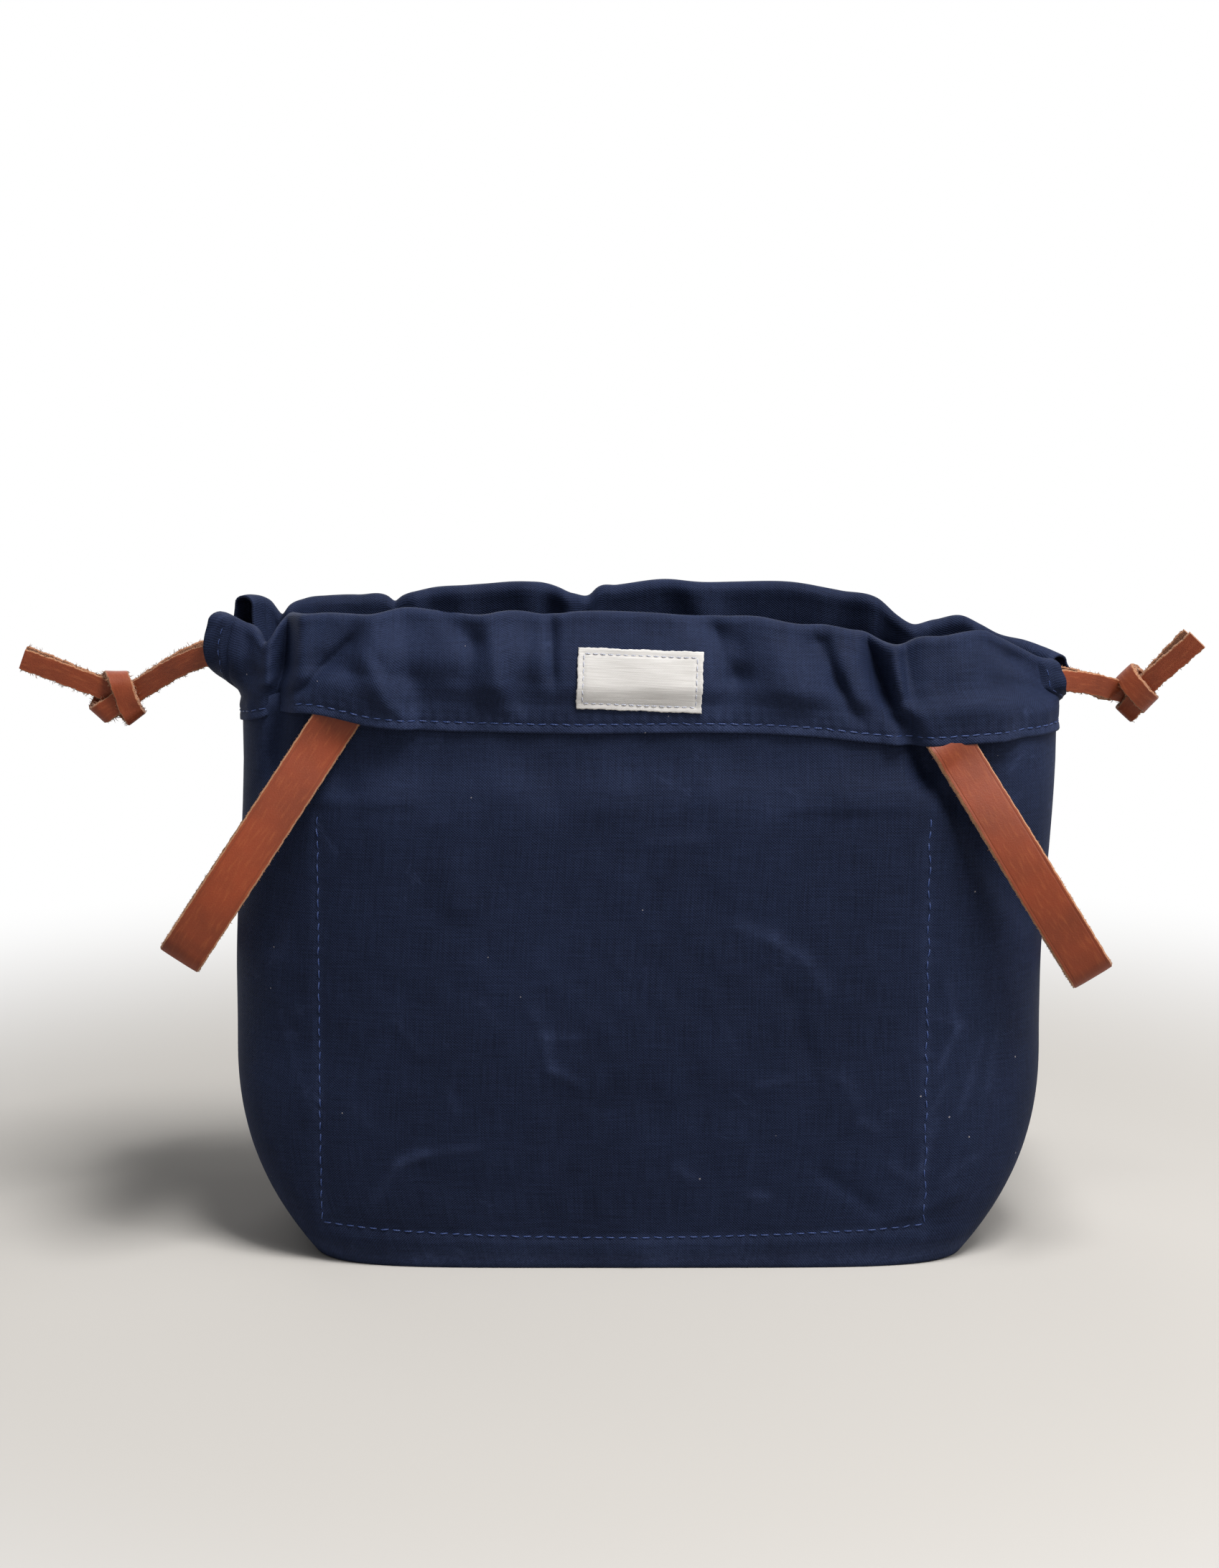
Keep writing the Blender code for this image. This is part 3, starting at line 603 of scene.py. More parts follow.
def section(height):
    """Half-width, half-depth and squareness of the body at a height.

    The width swells from the base's to the body's with 1 - (1 - h)^2.2, the depth falls from the
    base's to the mouth's in a soft step, and the squareness falls from 5.5 to 3.2.
    """
    swell = 1.0 - (1.0 - np.clip(height / CORNER_RISE, 0.0, 1.0)) ** 2.2
    half_width = BASE_WIDTH / 2 + (BODY_WIDTH - BASE_WIDTH) / 2 * swell
    half_depth = BASE_DEPTH / 2 + (MOUTH_DEPTH - BASE_DEPTH) / 2 * smooth(height / SEAM_HEIGHT, 0.30, 0.95)
    half_depth = half_depth + BELLY * np.sin(math.pi * np.clip(height / (0.95 * SEAM_HEIGHT), 0.0, 1.0))
    return half_width, half_depth, 5.5 - 2.3 * smooth(height / SEAM_HEIGHT, 0.0, 0.45)


def half_oval(half_width, half_depth, power, shares):
    """The front half of a squared oval at even shares of its length, left seam 0 to right seam 1."""
    angle = np.linspace(-math.pi / 2, math.pi / 2, 1441)
    x = half_width * np.sign(np.sin(angle)) * np.abs(np.sin(angle)) ** (2.0 / power)
    y = -half_depth * np.clip(np.cos(angle), 0.0, 1.0) ** (2.0 / power)
    run = run_along(np.stack([x, y], axis=-1))
    return np.interp(shares, run / run[-1], x), np.interp(shares, run / run[-1], y), run[-1]


def seam_height(across, back):
    """Lower edge of a casing at a share of the half-width: it lifts at the left and dips at the right."""
    rows = spline_through(BACK_SEAM if back else FRONT_SEAM, np.ravel(across))
    return SEAM_HEIGHT + rows[:, 0].reshape(across.shape)


def pleats(x, z, lines, fade=5.0):
    """Sum of soft ridges in mm along lines, each wider on one side than on the other.

    A line is (x0, z0, x1, z1, height, width left of it, width right of it): height *
    exp(-(d / width)^2), where d is the distance across it. It fades past its ends, and a
    negative height is a groove.
    """
    total = np.zeros_like(x)
    for x0, z0, x1, z1, height, left, right in lines:
        long = math.hypot(x1 - x0, z1 - z0)
        ahead = ((x - x0) * (x1 - x0) + (z - z0) * (z1 - z0)) / long
        d = ((x - x0) * (z0 - z1) + (z - z0) * (x1 - x0)) / long
        past = np.maximum(np.maximum(-ahead, ahead - long), 0.0)
        total += height * np.exp(-((d / np.where(d < 0, left, right)) ** 2) - (past / fade) ** 2)
    return total


FRONT_RELIEF = (
    (-0.72, 0.86, 1.2, 0.16, 0.16), (0.8, 0.66, 1.6, 0.12, 0.2), (-0.35, 0.4, 1.2, 0.3, 0.22),
    (0.45, 0.3, -1.2, 0.25, 0.2),
)
BACK_RELIEF = (
    (0.1, 0.82, -3, 0.45, 0.15), (-0.6, 0.5, 1.8, 0.25, 0.25), (0.55, 0.45, -1.6, 0.25, 0.25),
)
FRONT_CREASES = (
    (-119, 202, -138, 168, 1.6, 2.6, 4), (-127, 202, -145, 170, 1.2, 3, 2.6),
    (-106, 194, -106, 177, -2.4, 6, 7), (-76, 194, -76, 172, -1.1, 12, 13), (-52, 194, -50, 176, 0.8, 6, 8),
    (-31, 194, -31, 174, -0.9, 7, 6), (-12, 194, -11, 170, 0.7, 7, 10), (20, 194, 24, 174, 0.6, 6, 9),
    (47, 194, 50, 174, -0.9, 7, 8), (72, 194, 76, 174, 0.8, 8, 9), (-114, 171, -82, 171, 0.8, 1.6, 6),
    (57, 170, 93, 170, 0.7, 2, 8), (89, 193, 112, 171, -2, 4.5, 4), (112, 171, 121, 153, -1.7, 3, 4),
    (121, 153, 141, 125, -1.4, 3.5, 5), (100, 193, 118, 176, 0.8, 3, 5), (128, 190, 146, 186, 0.8, 3, 6),
    (-128, 150, -133, 118, -0.9, 6, 5), (-68, 148, -66, 136, 0.9, 6, 6), (-9, 147, -7, 138, 0.6, 7, 6),
    (56, 100, 62, 76, -0.8, 4, 3), (24, 138, 40, 128, -0.5, 8, 6), (-112, 110, -60, 96, -0.4, 9, 9),
    (68, 34, 83, 23, -0.9, 1.6, 3.5), (-80, 36, -52, 30, -0.7, 8, 7), (84, 15, 114, 26, 0.8, 3, 4),
    (-30, 62, 44, 62, -0.5, 14, 7), (130, 130, 136, 60, 0.8, 9, 7), (-136, 110, -140, 60, 0.7, 7, 9),
    (-138, 44, -120, 18, 0.7, 6, 5), (120, 18, 138, 46, -0.7, 6, 5), (-118, 8.5, 0, 7.5, 0.9, 4, 4.5),
    (0, 7.5, 118, 9.5, 0.9, 4, 4.5),
)
WAX_MARKS = (
    (4, 158, 22, 158.5, 0.5, 1.4, 3), (36, 127, 48, 122, 0.6, 1.6, 3.2), (48, 122, 59, 115, 0.7, 1.6, 3.2),
    (59, 115, 66, 104, 0.6, 1.4, 3), (64, 75, 74, 70, 0.5, 1.3, 2.4), (74, 70, 78, 63, 0.4, 1.3, 2.4),
    (-38, 96, -34, 88, 0.5, 1.5, 2.4), (-34, 87.5, -24, 87, 0.6, 1.1, 1.8),
    (-34, 85, -32, 76, 0.9, 1.4, 2.2), (-31, 75, -24, 71.5, 1, 1.3, 2), (-87, 91, -80, 82, 0.6, 1.2, 1.9),
    (-69, 67, -67, 61, 0.5, 1.2, 1.6), (-96, 26, -87, 40, 0.5, 2, 2), (-87, 40, -79, 43, 0.9, 1.6, 2.2),
    (-79, 43, -60, 46, 0.5, 1.3, 2.2), (44, 69, 53, 71, 0.5, 1.2, 2), (14, 38, 18, 35, 0.7, 1.6, 2),
    (41, 28, 45, 27, 0.7, 1.8, 2), (81, 55, 85, 53, 0.6, 1.4, 2), (112, 104, 115, 88, 0.5, 1, 1.6),
    (115, 88, 109, 75, 0.7, 1, 1.6), (109, 92, 118, 89, 0.4, 0.9, 1.2), (120, 68, 117, 59, 0.6, 1.1, 1.6),
    (130, 86, 127, 66, 0.5, 1, 1.8), (124, 82, 121, 72, 0.4, 0.9, 1.4), (106, 53, 103, 37, 0.6, 1.2, 2),
    (110, 66, 106, 58, 0.4, 1, 1.5), (122, 40, 112, 34, 0.5, 1.6, 2.4), (-131, 92, -121, 62, 0.3, 1, 1.4),
    (-128, 124, -133, 112, 0.4, 2, 3), (-22, 60, -14, 58, 0.3, 1.4, 2), (-10, 118, -4, 110, 0.3, 1.6, 2),
    (-57, 100, -52, 92, 0.3, 1.4, 2), (92, 38, 98, 34, 0.5, 1.6, 2), (-104, 60, -98, 54, 0.3, 1.6, 2.2),
    (30, 92, 34, 84, 0.3, 1.4, 2),
)
BACK_CREASES = (
    (120, 192, 140, 150, -1.5, 6, 4), (90, 188, 104, 165, -1.2, 7, 5), (40, 192, 34, 170, 0.8, 7, 6),
    (-20, 190, -30, 170, -0.8, 8, 6), (-96, 190, -110, 160, 1.3, 6, 5), (-128, 190, -142, 150, -1.4, 5, 6),
    (-60, 120, -30, 70, -0.9, 12, 9), (50, 90, 90, 60, 0.8, 7, 9), (110, 60, 132, 30, -0.8, 8, 6),
    (-110, 60, -134, 30, 0.8, 6, 8), (-118, 8.5, 118, 8.5, 0.9, 4, 4.5), (-70, 150, 60, 158, 0.7, 10, 8),
)
BACK_MARKS = (
    (-80, 60, -60, 74, 0.5, 1.4, 2.4), (40, 84, 52, 76, 0.6, 1.3, 2), (90, 40, 108, 52, 0.5, 1.5, 2.4),
    (-20, 120, -8, 108, 0.5, 1.3, 2.4), (-120, 110, -126, 80, 0.4, 1.4, 2),
    (126, 60, 120, 90, 0.5, 1.2, 1.8), (10, 50, 16, 38, 0.6, 1.4, 2), (60, 120, 72, 116, 0.4, 1.2, 2),
)
CORNER_DENTS = (
    (-129.8, 214, -133, 184, -7, 2.8, 4.4), (-143, 206, -140, 190, 0.8, 4, 5),
    (93, 206, 104, 182, -6, 4.6, 4.4),
)
POCKET_SHIFT, POCKET_HALF = -0.006, 0.110
POCKET_FLOOR, POCKET_TOP = 0.013, 0.166


def wall_shift(across, height, x, back):
    """How far a wall stands out, in metres: broad swells, creases, and a pull along the pocket's seam.

    The front also swells at the pocket's top edge and leans back above it.
    """
    up = height / SEAM_HEIGHT
    total = np.zeros_like(x)
    for place, rise, amount, wide, tall in (BACK_RELIEF if back else FRONT_RELIEF):
        total += amount * np.exp(-((across - place) / wide) ** 2 - ((up - rise) / tall) ** 2)
    x_mm, z_mm = x * 1000, height * 1000
    total += pleats(x_mm, z_mm, BACK_CREASES if back else FRONT_CREASES)
    total += 0.5 * pleats(x_mm, z_mm, BACK_MARKS if back else WAX_MARKS, 3.0)
    if not back:
        swell = np.exp(-(((z_mm - 168) / np.where(z_mm > 168, 17.0, 50.0)) ** 2))
        total += 3.2 * swell * (1 - smooth(np.abs(across), 0.6, 1.0))
        drawn = 0.8 + 0.2 * np.sin(z_mm * 0.9 + x_mm * 0.7)
        total -= 0.8 * np.exp(-((pocket_seam_away(x, height) / 0.0018) ** 2)) * drawn
    ripple = 0.16 * np.sin(x * 310 + 3 * np.sin(height * 60)) * np.sin(height * 190 + 2 * np.sin(x * 45))
    total += ripple * smooth(up, 0.02, 0.15)
    total *= 1.0 - smooth(up, 0.90, 0.985)
    return 0.001 * (total if back else total + pleats(x_mm, z_mm, CORNER_DENTS))


def pocket_seam_away(x, height):
    """Distance from the three-sided seam that holds the inner pocket: both sides and its bottom."""
    left, right = POCKET_SHIFT - POCKET_HALF, POCKET_SHIFT + POCKET_HALF
    beyond = np.maximum(np.maximum(POCKET_FLOOR - height, height - POCKET_TOP), 0.0)
    sides = np.hypot(np.minimum(np.abs(x - left), np.abs(x - right)), beyond)
    outside = np.maximum(np.maximum(left - x, x - right), 0.0)
    return np.minimum(sides, np.hypot(outside, height - (POCKET_FLOOR + pocket_dip(x))))


def pocket_dip(x):
    """The pocket's bottom seam sags 4 mm in its middle."""
    return 0.004 * ((x - POCKET_SHIFT) / POCKET_HALF) ** 2 - 0.0012


def body_ring(height, shares, scale=1.0, share_up=None):
    """One ring of the body, front then back; share_up is its place from the last level ring to the edge."""
    half_width, half_depth, power = section(height)
    x, y, _ = half_oval(half_width, half_depth, power, shares)
    x, y = np.concatenate([x, -x]), np.concatenate([y, -y])
    across = x / half_width
    z = np.full_like(x, height)
    front = y < 0
    if share_up is not None:
        top = np.where(front, seam_height(across, False), seam_height(across, True)) + SEAM_LAP
        even = 0.5 * (seam_height(across, False) + seam_height(across, True)) + SEAM_LAP
        top = top + (even - top) * smooth(np.abs(across), 0.97, 1.0)
        z = 0.90 * SEAM_HEIGHT + (top - 0.90 * SEAM_HEIGHT) * share_up
    lean = LEAN * smooth(height / SEAM_HEIGHT, 0.50, 0.95)
    shift = np.where(front, wall_shift(across, z, x + lean, False), wall_shift(across, z, x + lean, True))
    side_seam = 0.0009 * np.exp(-((np.abs(y) / 0.0022) ** 2)) * smooth(z, 0.004, 0.02)
    y = y * (1.0 + shift / half_depth)
    x = x + np.sign(x) * side_seam
    return np.stack([x * scale + lean, y * scale, z], axis=-1)


def sewn_body():
    """Rings from the middle of the base up to the raw edge, with a bent edge between base and wall."""
    shares = np.arange(230) / 230.0
    rows = [body_ring(0.0, shares, scale) for scale in (0.03, 0.25, 0.5, 0.72, 0.88, 0.95, 0.978, 0.992)]
    flat_rows = len(rows)
    levels = np.concatenate([[0.0006, 0.0018, 0.0036, 0.006], np.linspace(0.009, 0.90 * SEAM_HEIGHT, 110)])
    rows += [body_ring(h, shares) for h in levels]
    rows += [body_ring(SEAM_HEIGHT, shares, 1.0, s) for s in (0.15, 0.3, 0.45, 0.6, 0.8, 1.0)]
    grid = np.array(rows)
    round_it = np.linspace(0.0, 0.732, grid.shape[1] + 1)
    rise = np.concatenate([grid[..., 2], grid[:, :1, 2]], axis=1)
    uv = np.stack(np.broadcast_arrays(round_it[None, :], rise), -1)
    x, z = grid[..., 0], grid[..., 2]
    front = grid[..., 1] < 0
    wear_and_painted_light = 0.55 * np.exp(-((z - 0.0035) / 0.0035) ** 2)
    wear_and_painted_light += np.where(front, 0.20 * np.exp(-(pocket_seam_away(x, z) / 0.0022) ** 2), 0.0)
    marks = [pleats(x * 1000, z * 1000, lines, 3.0) for lines in (WAX_MARKS, BACK_MARKS)]
    wear_and_painted_light += 0.42 * np.where(front, *marks)
    # Painted light: the whole body is painted paler above 160 to 176 mm and beyond the pocket's sides, as if
    # lit more there from above and from the right; the other terms here are wear.
    wear_and_painted_light += 0.10 * (smooth(z, 0.160, 0.176) + smooth(np.abs(x - POCKET_SHIFT), 0.112, 0.135))
    wear_and_painted_light += 0.35 * np.exp(-((np.abs(grid[..., 1]) / 0.004) ** 2)) * (np.abs(x) > 0.118)
    item = cloth_mesh("body", grid, uv, canvas_out, CANVAS, offset=-1.0, closed=True,
                      floor_uv=(grid[..., :2], flat_rows), wear_and_painted_light=np.clip(wear_and_painted_light, 0, 1))
    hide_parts("body_canvas")


sewn_body()

# Inner pocket.
# A panel of the same canvas sewn inside the front along both sides and its bottom, with a
# folded top edge that hangs a little open.


def front_face(x, height):
    """Depth of the front's outer face at a place and a height."""
    half_width, half_depth, power = section(height)
    lean = LEAN * smooth(height / SEAM_HEIGHT, 0.50, 0.95)
    across = (x - lean) / half_width
    depth = half_depth + wall_shift(across, height, x, False)
    return -depth * (1.0 - np.clip(np.abs(across), 0.0, 0.999) ** power) ** (1.0 / power)


def inner_pocket():
    """The front's inner face moved back: slack * (1 - across^4), growing to the top edge."""
    across, up = np.meshgrid(np.linspace(-1.0, 1.0, 90), np.linspace(0.0, 1.0, 60))
    x = POCKET_SHIFT + POCKET_HALF * across
    height = POCKET_FLOOR + (POCKET_TOP - POCKET_FLOOR) * up + 0.6 * pocket_dip(x) * (1 - up)
    slack = 0.0095 * (1 - across**4) * smooth(up, 0.10, 0.75)
    wave = 0.0006 * np.sin(x * 90 + 1.0) * smooth(up, 0.4, 1.0) * (1 - across**4)
    y = front_face(x, height) + 0.0022 + slack + wave
    hem = 0.0005 * smooth(up, 0.925, 0.935)
    grid = np.stack([x, y + hem, height], axis=-1)
    uv = np.stack([x + 0.3, height], axis=-1)
    # The pocket takes the darker copy of the canvas, painted shade for the inside of the pouch.
    item = cloth_mesh("pocket", grid, uv, canvas_painted_shade_inside, CANVAS, offset=0.0,
                      wear_and_painted_light=0.25 * np.exp(-((1 - up) / 0.02) ** 2))
    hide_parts("inner_pocket")


inner_pocket()

# Handles.
# Two straps of vegetable-tanned leather, 16 mm wide and 2.6 mm thick, with a pressed line near
# each edge. Each is sewn in under the front and the back casing and hangs out past the side.

STRAP_WIDTH, STRAP_THICKNESS = 0.0162, 0.0026
strap_grain = grain_leather("veg_tanned_strap_grain", "#7f3518", "#662a11", "#8f4b27", STRAP_WIDTH / 2, True)
strap_edge = cut_leather("raw_strap_edge", "#b8845d", "#80502f", 2200.0)
STRAP_ENDS = {-1.0: ((-0.1075, 0.2025), (-0.1612, 0.1215)), 1.0: ((0.1105, 0.1935), (0.1590, 0.1155))}
LOOP_DEPTH, LOOP_BEND, STRAP_TUCK = 0.128, 0.006, 0.0030


def handle_rows(side):
    """Rows for one strap: down the front, round its lower bend, back level, and up the back.

    Each leg leaves the canvas below the casing's edge, with sin(share * pi / 2) of the way out
    to the bend. The right strap's front leg starts with its face turned a little up.
    """
    top, low = (np.array(end) for end in STRAP_ENDS[side])
    down = unit(low - top)
    tip = low - down * 0.001
    face = abs(float(front_face(top[:1], np.array([SEAM_HEIGHT]))[0])) + STRAP_THICKNESS / 2 + 0.0005
    rows = []
    for mirror in (-1.0, 1.0):
        start = top - down * STRAP_TUCK
        leg = [(start[0], mirror * face, start[1], 0.0, mirror, 0.0)]
        for share in np.linspace(0.0, 1.0, 12):
            x, z = top + (tip - top) * share
            y = face + (LOOP_DEPTH / 2 - face) * math.sin(max(0.0, share - 0.12) / 0.88 * math.pi / 2)
            turned = 0.30 * (1.0 - float(smooth(share, 0.15, 0.8))) * (side > 0 and mirror < 0)
            leg.append((x, mirror * (y + 0.006 * turned), z, 0.85 * turned, mirror, 0.53 * turned))
        for turn in np.radians((22.5, 45.0, 67.5, 90.0)):
            x, z = low + down * LOOP_BEND * math.sin(turn)
            out = down * math.sin(turn)
            y = mirror * (LOOP_DEPTH / 2 - LOOP_BEND * (1 - math.cos(turn)))
            leg.append((x, y, z, out[0], mirror * math.cos(turn), out[1]))
        rows += leg if mirror < 0 else leg[::-1]
    return rows


for which, side in (("left", -1.0), ("right", 1.0)):
    strap, route = strap_mesh(f"{which}_strap", handle_rows(side), STRAP_WIDTH, STRAP_THICKNESS,
                              (strap_grain, strap_edge, lace_flesh), 300, 0.00007, 20 + int(side))
    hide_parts(f"{which}_handle")
    edge_hairs(f"{which}_strap_hairs", route, STRAP_WIDTH, STRAP_THICKNESS, 520, 0.0009, 30 + int(side))

# Casings.
# Two bands of canvas, folded along the rim and sewn over the body's raw edge, one at the front
# and one at the back. Their short ends are hemmed and stay open, and the lace gathers them.

FRONT_RIM = (
    (-160, 235.5), (-152, 235.5), (-145, 232.8), (-139, 230), (-136, 226), (-133.5, 228), (-131, 232.5),
    (-125, 236.6), (-116, 238.3), (-95, 239.2), (-84, 241.2), (-72, 240.4), (-58, 239.6), (-46, 240.8),
    (-34, 239.4), (-22, 240.6), (3, 240.2), (23, 238.8), (43, 238.8), (57, 236), (68, 235.4), (79, 232.5),
    (90, 228.4), (95, 228.2), (99, 230.2), (109, 231), (118, 232.2), (124, 232), (130, 229), (138, 224.4),
    (146, 219.8), (156, 217.5),
)
BACK_RIM = (
    (-160, 236), (-152, 236.5), (-146, 239), (-139, 236.5), (-134, 231), (-131, 234.5), (-126, 236),
    (-118, 236.4), (-107, 236.2), (-96, 235.6), (-93, 233.6), (-90, 235.6), (-80, 238.2), (-60, 239.6),
    (-36, 240), (-30, 238.4), (-25, 236.4), (-18, 235.6), (-15.5, 238), (-8, 239), (10, 241.4), (27, 240.4),
    (62, 240.2), (78, 237.2), (92, 234.5), (99, 228.5), (104, 225.6), (114, 226.6), (124, 228.6),
    (130, 226), (136, 223), (146, 221), (156, 217.5), (164, 213),
)
FRONT_GATHERS = (
    (-128.4, 240, -129.8, 198, -14, 2.8, 4), (-134.4, 238, -133.8, 200, 2, 2.2, 1.4),
    (-141.5, 240, -139.5, 200, -3, 3.5, 3.5), (-121.5, 240, -121, 205, 2, 2, 5),
    (-97, 240, -91, 205, 2.6, 6, 4), (-84, 240, -80, 205, -3.4, 5, 12), (-56, 240, -50, 205, 2.8, 8, 4),
    (-40, 240, -40, 205, -3, 5, 7), (-31.5, 240, -31, 218, -1.6, 2.6, 2.2), (24, 240, 32, 218, -3, 6, 4),
    (36, 216, 29, 203, -1.6, 5, 6), (47, 240, 56, 205, 1.8, 8, 7), (66, 232, 76, 203, -2.6, 7, 2.6),
    (80.5, 240, 93.5, 198, -9, 5, 3.6), (91, 240, 93, 212, 2.2, 2, 2), (96, 240, 99, 212, -1.8, 2.4, 4),
    (112, 240, 118, 203, 1.6, 9, 9), (140, 240, 146, 203, -2.5, 8, 7),
)
BACK_GATHERS = (
    (-131, 240, -133, 200, -7, 4, 4.5), (-85, 240, -84, 203, -3.2, 6, 3), (-68, 240, -66, 203, -2.6, 8, 5),
    (-42, 240, -40, 203, -2.4, 7, 4), (-27, 240, -24, 203, -5, 5, 4), (18, 243, 34, 203, -3.6, 7, 8),
    (68, 240, 70, 203, -2.4, 18, 8), (89, 240, 90, 203, -3.2, 8, 4), (104, 240, 104, 203, -6, 7, 5),
    (128, 235, 126, 203, -2, 4, 6), (140, 235, 142, 203, -3, 6, 8),
)
FRONT_FOLDS = (
    (-144, 236, -143, 205, -0.8, 5, 4), (-105, 227, -123, 209, -2.8, 2.2, 2.6),
    (-108, 234, -122, 222, 1.6, 3, 5), (-95, 238, -98, 222, 1.2, 5, 5), (-98, 222, -90, 206, 2, 5, 3.5),
    (-91.5, 221, -84, 206, -1.6, 2.4, 8), (-88, 222.5, -66, 222.5, 3.8, 8, 8),
    (-70, 239, -59, 228, -1.8, 4, 6), (-59, 228, -64, 218, -1.8, 4, 5), (-53, 238, -49, 206, 1.6, 6, 3.5),
    (-46.5, 221, -42, 206, -1.4, 2.6, 7), (-45, 222.5, -35, 222.5, 3, 8, 7),
    (-32, 239, -31, 219, -1.4, 3, 2.4), (19, 238, 34, 228, -1.4, 4, 4), (35, 229, 36, 216, -0.8, 3.5, 4),
    (36, 218, 29, 206, -1.4, 4, 5), (46, 232, 56, 208, 1.4, 9, 9), (63, 229, 71, 214, -1.5, 5, 2),
    (71, 214, 78, 201, -1.6, 4, 2.2), (77, 232, 82, 226, -1.4, 3, 2.6), (82, 229, 86, 217, -1.6, 2.4, 3),
    (86, 217, 95, 196, -1.8, 3, 4), (89, 231, 92, 213, 1.8, 2.4, 2), (94, 228, 95.5, 213, -1.6, 1.6, 2.4),
    (97, 211, 101, 211, 0.8, 3, 3), (112, 230, 118, 205, 1.2, 9, 9), (122, 229, 134, 220, -1.6, 3, 3.5),
    (134, 220, 146, 211, -1.8, 2.6, 3.5),
)
BACK_FOLDS = (
    (-145, 236, -144, 208, 1, 6, 3), (-110, 238, -108, 206, 1.4, 6, 5), (-10, 240, -6, 206, 1.2, 5, 9),
    (46, 240, 50, 206, -1, 9, 9), (116, 228, 115, 205, 1.2, 6, 6),
)
INNER_SLACK = (
    (-129, 240, -131, 204, -7, 7, 7), (86, 236, 92, 204, -3.5, 7, 7),
)
CASING_WIDTH, CASING_FLARE = 0.345, 0.009
HALF_SPLIT, RIM_LEAN = 0.011, 0.17
LAP = SEAM_LAP + 0.0012
STRAP_PLACE = 0.108
END_EDGES = {
    (False, -1): ((0.0, -146.0), (0.15, -147.6), (0.42, -153.6), (0.8, -155.6), (1.0, -154.6)),
    (False, 1): ((0.0, 154.0), (0.4, 153.0), (0.8, 153.0), (1.0, 152.0)),
    (True, -1): ((0.0, -146.0), (0.3, -146.6), (0.7, -148.0), (1.0, -147.5)),
    (True, 1): ((0.0, 154.0), (0.3, 157.0), (0.6, 160.0), (1.0, 158.5)),
}


def casing_middle(back, shares, up):
    """Middle of a casing at a share of its height over the lap, the way out, and the place across.

    In the lap it follows the body. Above, it blends to an open curve, half the mouth's split plus
    (1 - t^4) of the rest, and leans in by a sixth at the rim. The gathers sink both walls inwards.
    """
    half_width, half_depth, power = section(SEAM_HEIGHT)
    fine = np.linspace(0.0, 1.0, 1441)
    x_lap, y_lap, _ = half_oval(half_width - 0.0005, half_depth - 0.0005, power, fine)
    t = np.linspace(-1.0, 1.0, 1441)
    x_open = (half_width + CASING_FLARE) * t
    y_open = -HALF_SPLIT - (half_depth - HALF_SPLIT) * (1 - t**4)
    run = run_along(np.stack([x_open, y_open], axis=-1))
    x_open, y_open = np.interp(fine, run / run[-1], x_open), np.interp(fine, run / run[-1], y_open)
    opened = float(smooth(up, 0.0, 0.55))
    x, y = x_lap + (x_open - x_lap) * opened + LEAN, y_lap + (y_open - y_lap) * opened
    y = y * (1.0 - RIM_LEAN * max(up, 0.0) * (1.0 - t**6))
    if up > 0.0:
        left, right = (float(spline_through(END_EDGES[back, k], up)[0, 0]) / 1000 for k in (-1, 1))
        x = x + (left - x[0]) * smooth(-x, 0.118, 0.158) + (right - x[-1]) * smooth(x, 0.118, 0.158)
    out = unit(np.stack([np.gradient(y), -np.gradient(x)], axis=-1))
    out[:, 0] *= smooth(np.abs(x), 0.134, 0.147)
    out = unit(out)
    level = np.full_like(x, 204.5 + (31.0 if up > 0 else 8.2) * up)
    grown = float(smooth(up, 0.0, 0.35))
    lift = grown * pleats(1000 * x, level, BACK_GATHERS if back else FRONT_GATHERS)
    if not back:
        lift = lift + (1.0 - grown) * pleats(1000 * x, level, CORNER_DENTS)
    y = y - 0.001 * lift
    x, y = np.interp(shares, fine, x), np.interp(shares, fine, y)
    out = np.stack([np.interp(shares, fine, out[:, k]) for k in (0, 1)], axis=-1)
    across = np.clip((x - LEAN) / half_width, -1.0, 1.0)
    seam = seam_height(across, back)
    lap = seam + LAP
    crown = 0.001 * spline_through(BACK_RIM if back else FRONT_RIM, 1000 * x)[:, 0]
    crown = crown - tunnel_half(1.0) - CANVAS / 2 + (0.0004 if back else -0.0012) * (1 - across**4)
    z = seam + (lap - seam) * (up + 1.0) if up < 0 else lap + (crown - lap) * up
    return np.stack([x, y, z], axis=-1), out, across


def tunnel_half(up):
    """Half the way between a casing's walls: 1.3 mm in the lap, 4.3 mm at the lace, less at the rim."""
    return 0.0013 + 0.003 * smooth(up, 0.0, 0.30) * (1 - 0.4 * smooth(up, 0.6, 1.0))


def strap_cover(across):
    """1 where a casing lies over a tucked strap, falling to 0 beside it."""
    away = np.abs(np.abs(across) * BODY_WIDTH / 2 - STRAP_PLACE)
    return 1.0 - smooth(away, 0.0182, 0.0272)


